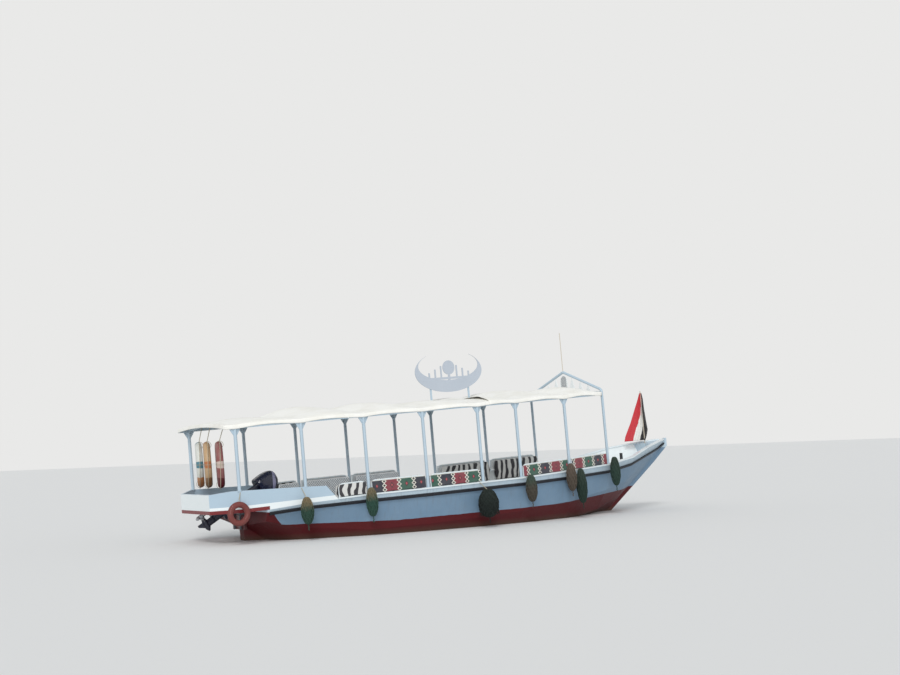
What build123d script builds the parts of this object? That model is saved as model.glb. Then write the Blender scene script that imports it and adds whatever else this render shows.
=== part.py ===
"""River passenger motor launch with a canopy on posts, about ten metres long.

The boat is drawn on her own base line: +X to the bow, +Y to port, +Z up, millimetres,
with the origin on the centreline amidships where the water surface crosses it. At the end
every piece is turned bow up by TRIM, so that Z = 0 is the water that she floats in.
"""
from build123d import *
import os
from math import cos, hypot, radians, sin

# Trim afloat, bow up, in degrees
TRIM = 3.5

# Planking, decks and joinery
PLANK = 40
SEAM = 0.4
KEEL_WIDTH = 60
KEEL_DEPTH = 75
SOLE_TOP = 100
DECK_THICK = 35
COCKPIT_AFT = -3450
COCKPIT_FORE = 2700
FOREDECK_TOP = 690
STERN_SHEETS_TOP = 470
BULKHEAD = 30
COUNTER_THICK = 55
WELL_WIDTH = 560
WELL_AFT = -5035

# Gunwale cap and rubbing strake
CAP_WIDTH = 90
CAP_PROUD = 20
CAP_THICK = 25
CAP_FORE = 5060
STRAKE_DEPTH = 58
STRAKE_PROUD = 38
STRAKE_BEVEL = 12

# Canopy frame and cloth
POST_RADIUS = 27
FOOT_RADIUS = 40
FOOT_PLATE = 6
CANOPY_HEIGHT = 2100
CANOPY_AFT = -4930
RAIL_SIZE = 54
BOW_SIZE = 36
CANOPY_CROWN = 50
BILLOW = 90
BILLOW_BAY = 500
CLOTH = 8
CLOTH_GAP = 0.5
SKIRT = 62
GUSSET = 95
GUSSET_THICK = 8
HOOP_RADIUS = 25
HOOP_SHOULDER = 80
HOOP_PEAK = 480
HOOP_BEND = 70
GABLE_BAR = 30
GABLE_PLATE = 10
AERIAL_TOP = 3350
AERIAL_RADIUS = 7

# Roof sign: a crescent barque cut from plate on two uprights
SIGN_X = -50
SIGN_PLATE = 14
SIGN_STAND = 455
SIGN_HALF_LENGTH = 735
SIGN_DEPTH = 380
SIGN_RIM = 75
SIGN_BELLY = 230
SIGN_HORN = 290
SIGN_DISC = 130
SIGN_BAR = 42
UPRIGHT = 36

# Side rails between the posts and the cloth hung on them
SIDE_RAIL_HEIGHT = 205
SIDE_RAIL_RADIUS = 13
SIDE_RAIL_BEND = 70
SIDE_CLOTH = 8

# Benches and cushions
BENCH_FRONT = 660
BENCH_TOP = 500
BENCH_BOARD = 30
SEAT_PAD = 95
BACK_PAD = 90
BACK_PAD_INBOARD = 75
BACK_PAD_RISE = 185
SOFT_GAP = 0.6

# Outboard motor, drawn with its leg upright and then tilted up about the transom board
TILT = 62
PIVOT_X = -4390
PIVOT_Z = 720
BOARD_THICK = 50
BOARD_WIDTH = 430
BOARD_TOP = 680
BOARD_DEPTH = 230
CHEEK = 18
CHEEK_Y = 120
HOOK = 30
TILT_TUBE = 12
STEER_OFFSET = 55
SWIVEL_RADIUS = 34
SWIVEL_TOP = 150
SWIVEL_LOW = -190
STEER_SHAFT = 16
BEARING_GAP = 0.5
YOKE = 44
YOKE_HALF = 28
LEG_LENGTH = 548
LEG_CHORD = 118
LEG_WIDTH = 62
PLATE_FORE = 30
PLATE_AFT = 196
PLATE_HALF = 80
COWL_BASE = 498
COWL_HEIGHT = 380
COWL_LENGTH = 350
COWL_WIDTH = 270
COWL_FORE = 35
COWL_CORNER = 100
TILLER_HEIGHT = 300
TILLER_REACH = 460
TILLER_RADIUS = 16
SKEG = 130
PROP_OFFSET = 141
PROP_RADIUS = 125
PROP_PITCH = 28
BLADES = 3
BLADE_THICK = 8
HUB_RADIUS = 34
HUB_LENGTH = 80
PROP_SHAFT = 10
RUNNING_GAP = 6

# Gearcase and propeller shaft, profile from aft: distance forward of the leg, radius
GEARCASE = [(-185, 10), (-95, 10), (-95, 34), (-68, 42), (64, 43), (115, 12)]

# Mooring bollard on the foredeck
BOLLARD_X = 3950
BOLLARD_RADIUS = 30
BOLLARD_HEIGHT = 190

# Flagstaff and hanging flag
STAFF_X = 4630
STAFF_TOP = 2080
STAFF_RADIUS = 10
FLAG_THICK = 12

# Lifebuoys hung from the aft bow of the canopy
LIFEBUOY_RING = 310
LIFEBUOY_TUBE = 55
LIFEBUOY_HEIGHT = 1535
LIFEBUOY_TURN = 22
LANYARD = 6

# Ring fender on the starboard quarter: its centre and its two radii
QUARTER_PLACE = (-4832, -1022, 778)
QUARTER_RING = 140
QUARTER_TUBE = 46

# Posts of each row, stern to bow: x, half beam, whether it stands on the raised bulwark
POSTS = [
    (-4750, 920, True), (-3700, 1080, True), (-2640, 1220, False), (-1560, 1310, False),
    (-470, 1360, False), (360, 1350, False), (1550, 1250, False), (2640, 1070, False),
]

# Outer half sections of the planking, stern to bow:
# x, keel half width, keel z, bilge y, bilge z, side y, side z, sheer y, sheer z
SECTIONS = [
    (-4350, 40, -150, 90, 500, 930, 600, 1013, 780),
    (-4310, 40, -161, 118, 463, 928, 588, 1019, 780),
    (-3700, 40, -330, 520, -60, 900, 420, 1115, 810),
    (-2640, 40, -380, 860, -200, 1150, 260, 1255, 815),
    (-1560, 40, -395, 990, -240, 1270, 220, 1345, 795),
    (-470, 40, -400, 1020, -250, 1310, 200, 1395, 775),
    (360, 40, -400, 1010, -240, 1300, 200, 1385, 760),
    (1550, 40, -385, 890, -180, 1180, 230, 1285, 760),
    (2640, 40, -330, 640, -60, 950, 300, 1105, 765),
    (3450, 40, -170, 380, 100, 650, 400, 880, 825),
    (4150, 40, 285, 200, 440, 390, 640, 600, 965),
    (4750, 40, 680, 90, 770, 180, 870, 290, 1025),
    (5160, 12, 975, 18, 995, 26, 1020, 36, 1050),
]
STERN = SECTIONS[0][0]
STEM_HEAD = SECTIONS[-1][0]
ROOM_FORE = 4600

# Rubbing strake: x, its centre below the top edge of the planking
STRAKE_DROP = [
    (-4310, 65), (-3700, 75), (-2640, 90), (-1560, 95), (-470, 95), (360, 100),
    (1550, 115), (2640, 125), (3450, 130), (4150, 165), (4750, 150), (5110, 90),
]

# Raised aft bulwark: x, half width of its outer face, height of its top
BULWARK_SIDE = [(-4310, 1019, 1097), (-3700, 1115, 1066), (-3370, 1159, 1045), (-3190, 1182, 815)]
BULWARK_STERN = [(-4310, 1019, 1097), (-4750, 950, 1118), (-4850, 844, 1118), (-5110, 570, 1085)]

# Side rails: x of the aft leg, x of the forward leg
SIDE_RAILS = [(-3150, -2700), (-2580, -1620), (-1500, -530), (420, 1490), (1610, 2580)]

# Bench runs on each side: aft end, forward end
BENCH_RUNS = [(-3400, -530), (420, 2640)]

# Fenders of one side: x, centre height, radius, length
FENDERS = [
    (-3785, 705, 105, 410), (-2695, 715, 98, 450), (-580, 450, 185, 460), (430, 585, 104, 455),
    (1422, 670, 98, 480), (1665, 490, 100, 610), (2650, 650, 96, 520),
]

# Ornament in the front gable, one side: distance from the centreline, half width
GABLE_SPIKES = [(240, 105), (480, 90), (700, 70)]

# Lifebuoys: name, x, y
LIFEBUOYS = [
    ("lifebuoy_port", -4840, 340), ("lifebuoy_middle", -4845, 0), ("lifebuoy_starboard", -4865, -520),
]


def station(x):
    """Plane square to the centreline at x: its first axis is port, its second is up."""
    return Plane(origin=(x, 0, 0), x_dir=(0, 1, 0), z_dir=(1, 0, 0))


def between(x, table, column):
    """Value of one column of a table at x, straight between its rows."""
    for low, high in zip(table, table[1:]):
        if x <= high[0]:
            break
    share = (x - low[0]) / (high[0] - low[0])
    return low[column] + share * (high[column] - low[column])


def section(x):
    """Keel, bilge, side and sheer points of the outer half section at x."""
    row = [between(x, SECTIONS, column) for column in range(1, 9)]
    return list(zip(row[0::2], row[1::2]))


def sheer_y(x):
    """Half breadth of the top edge of the planking at x."""
    return between(x, SECTIONS, 7)


def cap_top(x):
    """Height of the top of the gunwale cap at x."""
    return between(x, SECTIONS, 8) + CAP_THICK


def post_y(x):
    """Half breadth of the row of posts at x."""
    return between(x, POSTS, 1)


def planking_y(x, z):
    """Half breadth of the outer face of the topside at x and height z."""
    (side_y, side_z), (top_y, top_z) = section(x)[2:]
    return side_y + (top_y - side_y) * (z - side_z) / (top_z - side_z)


def inner_y(x, z):
    """Half breadth of the inner face of the topside at x and height z, less a soft gap."""
    return planking_y(x, z) - 1.12 * PLANK - 10 * SOFT_GAP


def inset(points, gap):
    """Half section moved inwards by gap, from the centreline up past the sheer."""
    lines = []
    for (ya, za), (yb, zb) in zip(points, points[1:]):
        run = hypot(yb - ya, zb - za)
        dy, dz = (yb - ya) / run, (zb - za) / run
        lines.append((ya - gap * dz, za + gap * dy, dy, dz))
    y0, z0, dy, dz = lines[0]
    inner = [(0, z0 - y0 * dz / dy)]
    for (ya, za, dya, dza), (yb, zb, dyb, dzb) in zip(lines, lines[1:]):
        along = ((yb - ya) * dzb - (zb - za) * dyb) / (dya * dzb - dza * dyb)
        inner.append((ya + along * dya, za + along * dza))
    y0, z0, dy, dz = lines[-1]
    top = points[-1][1] + 3 * PLANK
    inner.append((y0 + (top - z0) * dy / dz, top))
    return inner


def whole(half):
    """Closed outline of both sides from a port half outline that runs keel to sheer."""
    return list(half) + [(-y, z) for y, z in reversed(half) if y > 0]


def inside(gap):
    """Solid that fills the boat inside the planking, less a gap."""
    stations = [STERN + PLANK] + [row[0] for row in SECTIONS[2:-2]] + [ROOM_FORE]
    with BuildPart() as room:
        for x in stations:
            with BuildSketch(station(x)):
                with BuildLine():
                    Polyline(*whole(inset(section(x), gap)), close=True)
                make_face()
        loft(ruled=True)
    return room.part


def middle(*limits):
    """Centre of a block between limits given as low, high for x, y and z."""
    return tuple((low + high) / 2 for low, high in zip(limits[0::2], limits[1::2]))


def span(*limits):
    """Size of a block between limits given as low, high for x, y and z."""
    return tuple(high - low for low, high in zip(limits[0::2], limits[1::2]))


# Depth that fitted feet start below their seats, and a reach past any cross section
FOOT_TRIM = 8
wide = 1.4 * max(row[7] for row in SECTIONS)
finished = []

# Planked hull: straight-sided sections lofted from the sternpost to the raked bow.
cockpit_room = inside(PLANK)
with BuildPart() as hull_shell:
    for row in SECTIONS:
        with BuildSketch(station(row[0])):
            with BuildLine():
                Polyline(*whole(section(row[0])), close=True)
            make_face()
    loft(ruled=True)
    add(cockpit_room, mode=Mode.SUBTRACT)
    notch = (STERN - PLANK, STERN + 2 * PLANK, -BOARD_WIDTH / 2, BOARD_WIDTH / 2,
             BOARD_TOP, BOARD_TOP + wide)
    with Locations(middle(*notch)):
        Box(*span(*notch), mode=Mode.SUBTRACT)
hull_shell.part.label = "hull_shell"
finished.append(hull_shell)

# Room inside the planking that the decks, benches and bulkheads are cut to fit.
fitted_room = inside(PLANK + SEAM)

# Keel and stem timber under the planking, in one bent line from the sternpost to the bow.
keel_line = [(row[0], row[2]) for row in SECTIONS]
flat_part = [(x, z - KEEL_DEPTH) for x, z in keel_line[:9]]
raked_part = [(x + 0.65 * KEEL_DEPTH, z - 0.8 * KEEL_DEPTH) for x, z in keel_line[9:]]
head = [(STEM_HEAD, cap_top(STEM_HEAD)), (STEM_HEAD + 0.65 * KEEL_DEPTH, cap_top(STEM_HEAD))]
with BuildPart() as keel_and_stem:
    with BuildSketch(Plane.XZ):
        with BuildLine():
            Polyline(*keel_line, *head, *reversed(flat_part + raked_part), close=True)
        make_face()
    extrude(amount=KEEL_WIDTH / 2, both=True)
keel_and_stem.part.label = "keel_and_stem"
finished.append(keel_and_stem)

# Cockpit sole, fitted between the sides.
with BuildPart() as sole:
    add(fitted_room)
    block = (COCKPIT_AFT, COCKPIT_FORE, -wide, wide, SOLE_TOP - DECK_THICK, SOLE_TOP)
    with Locations(middle(*block)):
        Box(*span(*block), mode=Mode.INTERSECT)
sole.part.label = "sole"
finished.append(sole)

# Foredeck with the bulkhead that carries its aft edge.
with BuildPart() as foredeck:
    add(fitted_room)
    block = (COCKPIT_FORE + SEAM, STEM_HEAD, -wide, wide, SOLE_TOP - DECK_THICK, FOREDECK_TOP)
    with Locations(middle(*block)):
        Box(*span(*block), mode=Mode.INTERSECT)
    block = (COCKPIT_FORE + SEAM + BULKHEAD, STEM_HEAD, -wide, wide, -wide, FOREDECK_TOP - DECK_THICK)
    with Locations(middle(*block)):
        Box(*span(*block), mode=Mode.SUBTRACT)
foredeck.part.label = "foredeck"
finished.append(foredeck)

# Stern sheets: the raised platform abaft the benches, with its forward riser.
with BuildPart() as stern_sheets:
    add(fitted_room)
    block = (STERN, COCKPIT_AFT - SEAM, -wide, wide, SOLE_TOP - DECK_THICK, STERN_SHEETS_TOP)
    with Locations(middle(*block)):
        Box(*span(*block), mode=Mode.INTERSECT)
    block = (STERN, COCKPIT_AFT - SEAM - BULKHEAD, -wide, wide, -wide, STERN_SHEETS_TOP - DECK_THICK)
    with Locations(middle(*block)):
        Box(*span(*block), mode=Mode.SUBTRACT)
stern_sheets.part.label = "stern_sheets"
finished.append(stern_sheets)

# Counter: the deck that overhangs the sternpost, with the motor well cut through it.
counter_low = SECTIONS[0][8]
counter_top = counter_low + COUNTER_THICK
counter_side = [(x, y) for x, y, _ in BULWARK_STERN]
counter_plan = counter_side + [(x, -y) for x, y in reversed(counter_side)]
with BuildPart() as counter:
    with BuildSketch(Plane.XY.offset(counter_low)):
        with BuildLine():
            Polyline(*counter_plan, close=True)
        make_face()
        with Locations(((WELL_AFT + BULWARK_STERN[0][0]) / 2, 0)):
            Rectangle(BULWARK_STERN[0][0] - WELL_AFT, WELL_WIDTH, mode=Mode.SUBTRACT)
    extrude(amount=COUNTER_THICK)
counter.part.label = "counter"
finished.append(counter)

# Raised aft bulwark: sides on the planking, and a stern that wraps round the counter.
with BuildPart() as stern_bulwark:
    with BuildSketch(Plane.XY.offset(counter_top)):
        with BuildLine():
            extended = [(BULWARK_STERN[0][0] + wide, BULWARK_STERN[0][1])] + counter_side
            Polyline(*extended, *[(x, -y) for x, y in reversed(extended)], close=True)
        make_face()
        offset(amount=-PLANK, kind=Kind.INTERSECTION, mode=Mode.SUBTRACT)
    extrude(amount=wide)
    with BuildSketch(Plane.XZ):
        with BuildLine():
            top_line = [(x, z) for x, _, z in BULWARK_STERN]
            Polyline((top_line[0][0], counter_top), *top_line, (top_line[-1][0], counter_top), close=True)
        make_face()
    extrude(amount=wide, both=True, mode=Mode.INTERSECT)
stern_bulwark.part.label = "stern_bulwark"
finished.append(stern_bulwark)

with BuildPart() as side_bulwarks:
    for (xa, ya, za), (xb, yb, zb) in zip(BULWARK_SIDE, BULWARK_SIDE[1:]):
        for x, y, z in ((xa, ya, za), (xb, yb, zb)):
            low = cap_top(x) - CAP_THICK
            top = max(z, low + 2)
            with BuildSketch(station(x)):
                with BuildLine():
                    Polyline((y - PLANK, low), (y, low), (y, top), (y - PLANK, top), close=True)
                make_face()
        loft(ruled=True)
    mirror(about=Plane.XZ)
side_bulwarks.part.label = "side_bulwarks"
finished.append(side_bulwarks)

# Gunwale caps: a plank on the top edge of the topsides from the aft bulwark to the bow.
cap_stations = [BULWARK_SIDE[-1][0]] + [row[0] for row in SECTIONS[3:-1]] + [CAP_FORE]
with BuildPart() as gunwale_caps:
    for x in cap_stations:
        outer = sheer_y(x) + CAP_PROUD
        low, top = cap_top(x) - CAP_THICK, cap_top(x)
        with BuildSketch(station(x)):
            with BuildLine():
                edge = outer - CAP_WIDTH
                Polyline((edge, low), (outer, low), (outer, top), (edge, top), close=True)
            make_face()
    loft(ruled=True)
    mirror(about=Plane.XZ)
gunwale_caps.part.label = "gunwale_caps"
finished.append(gunwale_caps)

# Rubbing strakes: black fendering bolted along both topsides.
with BuildPart() as rubbing_strakes:
    for x, drop in STRAKE_DROP:
        centre_z = cap_top(x) - CAP_THICK - drop
        low, top = centre_z - STRAKE_DEPTH / 2, centre_z + STRAKE_DEPTH / 2
        low_y, top_y = planking_y(x, low), planking_y(x, top)
        with BuildSketch(station(x)):
            with BuildLine():
                Polyline((low_y - FOOT_TRIM, low), (low_y, low), (low_y + STRAKE_PROUD, low + STRAKE_BEVEL),
                         (top_y + STRAKE_PROUD, top - STRAKE_BEVEL), (top_y, top), (top_y - FOOT_TRIM, top),
                         close=True)
            make_face()
    loft(ruled=True)
    mirror(about=Plane.XZ)
    for seat in (hull_shell, keel_and_stem):
        add(seat.part, mode=Mode.SUBTRACT)
rubbing_strakes.part.label = "rubbing_strakes"
finished.append(rubbing_strakes)

# Benches: a seat board and a front board along each side, open at the boarding gate.
bench_aft, bench_fore = BENCH_RUNS[0][0], BENCH_RUNS[-1][1]
with BuildPart() as benches:
    add(fitted_room)
    block = (bench_aft, bench_fore, -wide, wide, SOLE_TOP, BENCH_TOP)
    with Locations(middle(*block)):
        Box(*span(*block), mode=Mode.INTERSECT)
    aisle = (bench_aft - 1, bench_fore + 1, -BENCH_FRONT, BENCH_FRONT, 0, wide)
    with Locations(middle(*aisle)):
        Box(*span(*aisle), mode=Mode.SUBTRACT)
    gate = (BENCH_RUNS[0][1], BENCH_RUNS[1][0], -wide, wide, 0, wide)
    with Locations(middle(*gate)):
        Box(*span(*gate), mode=Mode.SUBTRACT)
    for run_aft, run_fore in BENCH_RUNS:
        for side in (-1, 1):
            inner, outer = sorted((side * (BENCH_FRONT + BENCH_BOARD), side * wide))
            hollow = (run_aft + BENCH_BOARD, run_fore - BENCH_BOARD, inner, outer,
                      0, BENCH_TOP - BENCH_BOARD)
            with Locations(middle(*hollow)):
                Box(*span(*hollow), mode=Mode.SUBTRACT)
benches.part.label = "benches"
finished.append(benches)


def run_stations(aft, fore):
    """Stations of the planking within a run, with both ends of the run."""
    return [aft] + [row[0] for row in SECTIONS if aft < row[0] < fore] + [fore]


# Seat cushions on the benches, one a side in each run.
pad_low = BENCH_TOP + SOFT_GAP
pad_top = BENCH_TOP + SEAT_PAD
with BuildPart() as seat_cushions:
    for run_aft, run_fore in BENCH_RUNS:
        for x in run_stations(run_aft + 10, run_fore - 10):
            outer = inner_y(x, pad_low)
            with BuildSketch(station(x)):
                with BuildLine():
                    Polyline((BENCH_FRONT, pad_low), (outer, pad_low),
                             (outer, pad_top), (BENCH_FRONT, pad_top), close=True)
                make_face()
        loft(ruled=True)
    mirror(about=Plane.XZ)
seat_cushions.part.label = "seat_cushions"
finished.append(seat_cushions)

# Back cushions standing on the seat cushions inside the rails.
with BuildPart() as back_cushions:
    for run_aft, run_fore in SIDE_RAILS:
        low = pad_top + SOFT_GAP
        for x in run_stations(run_aft, run_fore):
            outer = min(post_y(x) - BACK_PAD_INBOARD, inner_y(x, low))
            top = cap_top(x) + BACK_PAD_RISE
            with BuildSketch(station(x)):
                with BuildLine():
                    face = [(outer - BACK_PAD, low), (outer, low), (outer, top), (outer - BACK_PAD, top)]
                    Polyline(*face, close=True)
                make_face()
        loft(ruled=True)
    mirror(about=Plane.XZ)
back_cushions.part.label = "back_cushions"
finished.append(back_cushions)

# Canopy edge rails: square tube along the heads of both rows of posts.
rail_low, rail_top = CANOPY_HEIGHT - RAIL_SIZE / 2, CANOPY_HEIGHT + RAIL_SIZE / 2
rail_stations = [CANOPY_AFT] + [post[0] for post in POSTS[:-1]] + [POSTS[-1][0] - HOOP_RADIUS]
with BuildPart() as canopy_rails:
    for x in rail_stations:
        with BuildSketch(station(x)):
            with Locations((post_y(x), CANOPY_HEIGHT)):
                Rectangle(RAIL_SIZE, RAIL_SIZE)
    loft(ruled=True)
    mirror(about=Plane.XZ)
canopy_rails.part.label = "canopy_rails"
finished.append(canopy_rails)


def foot(post):
    """Height of the foot of a post, on the raised bulwark or on the gunwale cap."""
    x, _, raised = post
    if raised:
        rows = sorted(BULWARK_SIDE + BULWARK_STERN[1:])
        return between(x, rows, 2)
    return cap_top(x)


# Posts of both rows, with round foot plates and with gusset plates under the canopy rails.
with BuildPart() as posts:
    for post in POSTS[:-1]:
        x, y, _ = post
        with BuildSketch(Plane.XY.offset(foot(post) - FOOT_TRIM)):
            with Locations((x, y)):
                Circle(POST_RADIUS)
        extrude(amount=rail_low - foot(post) + FOOT_TRIM)
        with BuildSketch(Plane.XY.offset(foot(post) - FOOT_TRIM)):
            with Locations((x, y)):
                Circle(FOOT_RADIUS)
        extrude(amount=FOOT_TRIM + FOOT_PLATE)
        with BuildSketch(Plane.XZ.offset(-y)):
            with BuildLine():
                tip = (x, rail_low - 1.6 * GUSSET)
                Polyline((x - GUSSET, rail_low), (x + GUSSET, rail_low), tip, close=True)
            make_face()
        extrude(amount=GUSSET_THICK / 2, both=True)
    mirror(about=Plane.XZ)
    for seat in (gunwale_caps, side_bulwarks, stern_bulwark):
        add(seat.part, mode=Mode.SUBTRACT)
posts.part.label = "posts"
finished.append(posts)

# Cross bows: arched flat bars between the canopy rails at the posts.
bow_stations = [post[0] for post in POSTS[:-1]] + [POSTS[-1][0] - 2 * RAIL_SIZE]
crown_top = rail_top + CLOTH_GAP + CANOPY_CROWN
with BuildPart() as cross_bows:
    for x in bow_stations:
        reach = post_y(x)
        with BuildSketch(station(x)):
            with BuildLine():
                ThreePointArc((-reach, rail_top), (0, crown_top - CLOTH_GAP), (reach, rail_top))
                Line((reach, rail_top), (reach, rail_low))
                ThreePointArc((reach, rail_low), (0, crown_top - CLOTH_GAP - BOW_SIZE), (-reach, rail_low))
                Line((-reach, rail_low), (-reach, rail_top))
            make_face()
        extrude(amount=BOW_SIZE / 2, both=True)
    add(canopy_rails.part, mode=Mode.SUBTRACT)
cross_bows.part.label = "cross_bows"
finished.append(cross_bows)

# Canopy: one cloth over the bows and rails that billows up between them, with a skirt down each side.
cloth_edges = [CANOPY_AFT] + [post[0] for post in POSTS[:-1]] + [POSTS[-1][0] - HOOP_RADIUS - CLOTH_GAP]
cloth_stations = [(x, 0) for x in cloth_edges]
for aft, fore in zip(cloth_edges, cloth_edges[1:]):
    if fore - aft > BILLOW_BAY:
        cloth_stations.append(((aft + fore) / 2, BILLOW))
cloth_stations.sort()
uprights_x = [POSTS[4][0], POSTS[5][0]]
with BuildPart() as canopy:
    for x, rise in cloth_stations:
        inner = post_y(x) + RAIL_SIZE / 2 + CLOTH_GAP
        outer = inner + CLOTH
        shoulder = rail_top + CLOTH_GAP
        hem = shoulder - SKIRT
        with BuildSketch(station(x)):
            with BuildLine():
                Line((inner, shoulder), (inner, hem))
                Line((inner, hem), (outer, hem))
                Line((outer, hem), (outer, shoulder + CLOTH))
                brow = shoulder + CLOTH
                ThreePointArc((outer, brow), (0, crown_top + CLOTH + rise), (-outer, brow))
                Line((-outer, shoulder + CLOTH), (-outer, hem))
                Line((-outer, hem), (-inner, hem))
                Line((-inner, hem), (-inner, shoulder))
                ThreePointArc((-inner, shoulder), (0, crown_top + rise), (inner, shoulder))
            make_face()
    loft(ruled=True)
    for x in uprights_x:
        with Locations((x, 0, crown_top)):
            Box(UPRIGHT + 8, UPRIGHT + 8, 8 * CLOTH, mode=Mode.SUBTRACT)
canopy.part.label = "canopy"
finished.append(canopy)

# Front hoop: the front pair of posts bent over into a gable.
front_x, front_y = POSTS[-1][0], POSTS[-1][1]
front_foot = foot(POSTS[-1]) - FOOT_TRIM
with BuildPart() as front_hoop:
    with BuildLine(station(front_x)) as hoop_line:
        shoulder = CANOPY_HEIGHT + HOOP_SHOULDER
        FilletPolyline((front_y, front_foot), (front_y, shoulder), (0, CANOPY_HEIGHT + HOOP_PEAK),
                       (-front_y, shoulder), (-front_y, front_foot), radius=HOOP_BEND)
    with BuildSketch(Plane(origin=hoop_line.line @ 0, z_dir=hoop_line.line % 0)):
        Circle(HOOP_RADIUS)
    sweep(path=hoop_line.line)
    add(gunwale_caps.part, mode=Mode.SUBTRACT)
front_hoop.part.label = "front_hoop"
finished.append(front_hoop)

# Gable ornament: a bar across the hoop with a lobe in the middle and spikes that step down.
bar_low = CANOPY_HEIGHT + GABLE_BAR
bar_reach = front_y - HOOP_RADIUS
slope = (HOOP_PEAK - HOOP_SHOULDER) / front_y
hoop_drop = HOOP_RADIUS * hypot(1, slope) + 12
with BuildPart() as gable_ornament:
    bar = (front_x - GABLE_BAR / 2, front_x + GABLE_BAR / 2, -bar_reach, bar_reach,
           bar_low, bar_low + GABLE_BAR)
    with Locations(middle(*bar)):
        Box(*span(*bar))
    with BuildSketch(station(front_x)):
        for centre_y, half_width in GABLE_SPIKES:
            apex = CANOPY_HEIGHT + HOOP_PEAK - slope * centre_y - hoop_drop
            for side in (-1, 1):
                with BuildLine():
                    foot_z = bar_low + GABLE_BAR
                    Polyline((side * centre_y - half_width, foot_z), (side * centre_y + half_width, foot_z),
                             (side * centre_y, apex), close=True)
                make_face()
        lobe_top = CANOPY_HEIGHT + HOOP_PEAK - 2 * hoop_drop
        lobe_half = (lobe_top - bar_low) / 2
        with Locations((0, lobe_top - lobe_half)):
            Ellipse(0.6 * lobe_half, lobe_half)
    extrude(amount=GABLE_PLATE / 2, both=True)
    add(front_hoop.part, mode=Mode.SUBTRACT)
gable_ornament.part.label = "gable_ornament"
finished.append(gable_ornament)

# Aerial: a thin rod that stands on the peak of the hoop.
hoop_top = CANOPY_HEIGHT + HOOP_PEAK + HOOP_RADIUS - HOOP_BEND * (hypot(1, slope) - 1)
with BuildPart() as aerial:
    with BuildSketch(Plane.XY.offset(hoop_top)):
        with Locations((front_x, 0)):
            Circle(AERIAL_RADIUS)
    extrude(amount=AERIAL_TOP - hoop_top)
aerial.part.label = "aerial"
finished.append(aerial)

# Roof sign: a crescent barque in outline, with a deck bar, a disc and plain staves.
sign_bar_z = crown_top + SIGN_STAND
sign_z = sign_bar_z + SIGN_DEPTH / 3
with BuildPart() as roof_sign:
    with BuildSketch(Plane.XZ):
        with Locations((SIGN_X, sign_z)):
            Ellipse(SIGN_HALF_LENGTH, SIGN_DEPTH)
        with Locations((SIGN_X, sign_z + 0.45 * SIGN_BELLY)):
            Ellipse(SIGN_HALF_LENGTH - SIGN_RIM, SIGN_DEPTH - SIGN_BELLY / 2, mode=Mode.SUBTRACT)
        with Locations((SIGN_X, sign_z + SIGN_HORN + SIGN_DEPTH / 2)):
            Rectangle(2 * SIGN_HALF_LENGTH, SIGN_DEPTH, mode=Mode.SUBTRACT)
        with Locations((SIGN_X, sign_bar_z)):
            Rectangle(1.82 * SIGN_HALF_LENGTH, SIGN_BAR)
        with Locations((SIGN_X, sign_z + SIGN_DISC / 2)):
            Circle(SIGN_DISC)
        with Locations((SIGN_X, sign_z - SIGN_DEPTH / 4)):
            Rectangle(SIGN_BAR, 2 * SIGN_DISC)
        for side in (-1, 1):
            for step in (1, 2, 3):
                tall = SIGN_DISC * (2.2 - 0.45 * step)
                stave_x = SIGN_X + side * (step * SIGN_DISC + SIGN_BAR)
                with Locations((stave_x, sign_bar_z + tall / 2)):
                    Rectangle(0.7 * SIGN_BAR, tall)
    extrude(amount=SIGN_PLATE / 2, both=True)
roof_sign.part.label = "roof_sign"
finished.append(roof_sign)

# Sign uprights: bars from the crown of two bows up one face of the sign.
with BuildPart() as sign_uprights:
    for x in uprights_x:
        bar = (x - UPRIGHT / 2, x + UPRIGHT / 2, SIGN_PLATE / 2, SIGN_PLATE / 2 + UPRIGHT / 3,
               crown_top - FOOT_TRIM, sign_bar_z)
        with Locations(middle(*bar)):
            Box(*span(*bar))
    add(cross_bows.part, mode=Mode.SUBTRACT)
sign_uprights.part.label = "sign_uprights"
finished.append(sign_uprights)

# Side rails: bent tube frames on the gunwale caps, one in each bay but the gate.
rail_rise = SIDE_RAIL_HEIGHT + FOOT_TRIM
with BuildPart() as side_rails:
    for aft, fore in SIDE_RAILS:
        ends = [(x, post_y(x), cap_top(x) - FOOT_TRIM) for x in (aft, fore)]
        run = Vector(fore - aft, ends[1][1] - ends[0][1], 0)
        frame = Plane(origin=ends[0], x_dir=run, z_dir=run.cross(Vector(0, 0, 1)))
        rise = ends[1][2] - ends[0][2]
        with BuildLine(frame) as rail_line:
            FilletPolyline((0, 0), (0, rail_rise), (run.length, rail_rise + rise), (run.length, rise),
                           radius=SIDE_RAIL_BEND)
        with BuildSketch(Plane(origin=ends[0], z_dir=(0, 0, 1))):
            Circle(SIDE_RAIL_RADIUS)
        sweep(path=rail_line.line)
    mirror(about=Plane.XZ)
    add(gunwale_caps.part, mode=Mode.SUBTRACT)
side_rails.part.label = "side_rails"
finished.append(side_rails)

# Side cloths: printed cloth hung on the outside of each side rail.
with BuildPart() as side_cloths:
    for aft, fore in SIDE_RAILS:
        for x in run_stations(aft - SIDE_RAIL_RADIUS, fore + SIDE_RAIL_RADIUS):
            inner = post_y(x) + SIDE_RAIL_RADIUS + SOFT_GAP
            outer = inner + SIDE_CLOTH
            low, top = cap_top(x) + SOFT_GAP, cap_top(x) + SIDE_RAIL_HEIGHT
            with BuildSketch(station(x)):
                with BuildLine():
                    Polyline((inner, low), (outer, low), (outer, top), (inner, top), close=True)
                make_face()
        loft(ruled=True)
    mirror(about=Plane.XZ)
side_cloths.part.label = "side_cloths"
finished.append(side_cloths)

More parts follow.
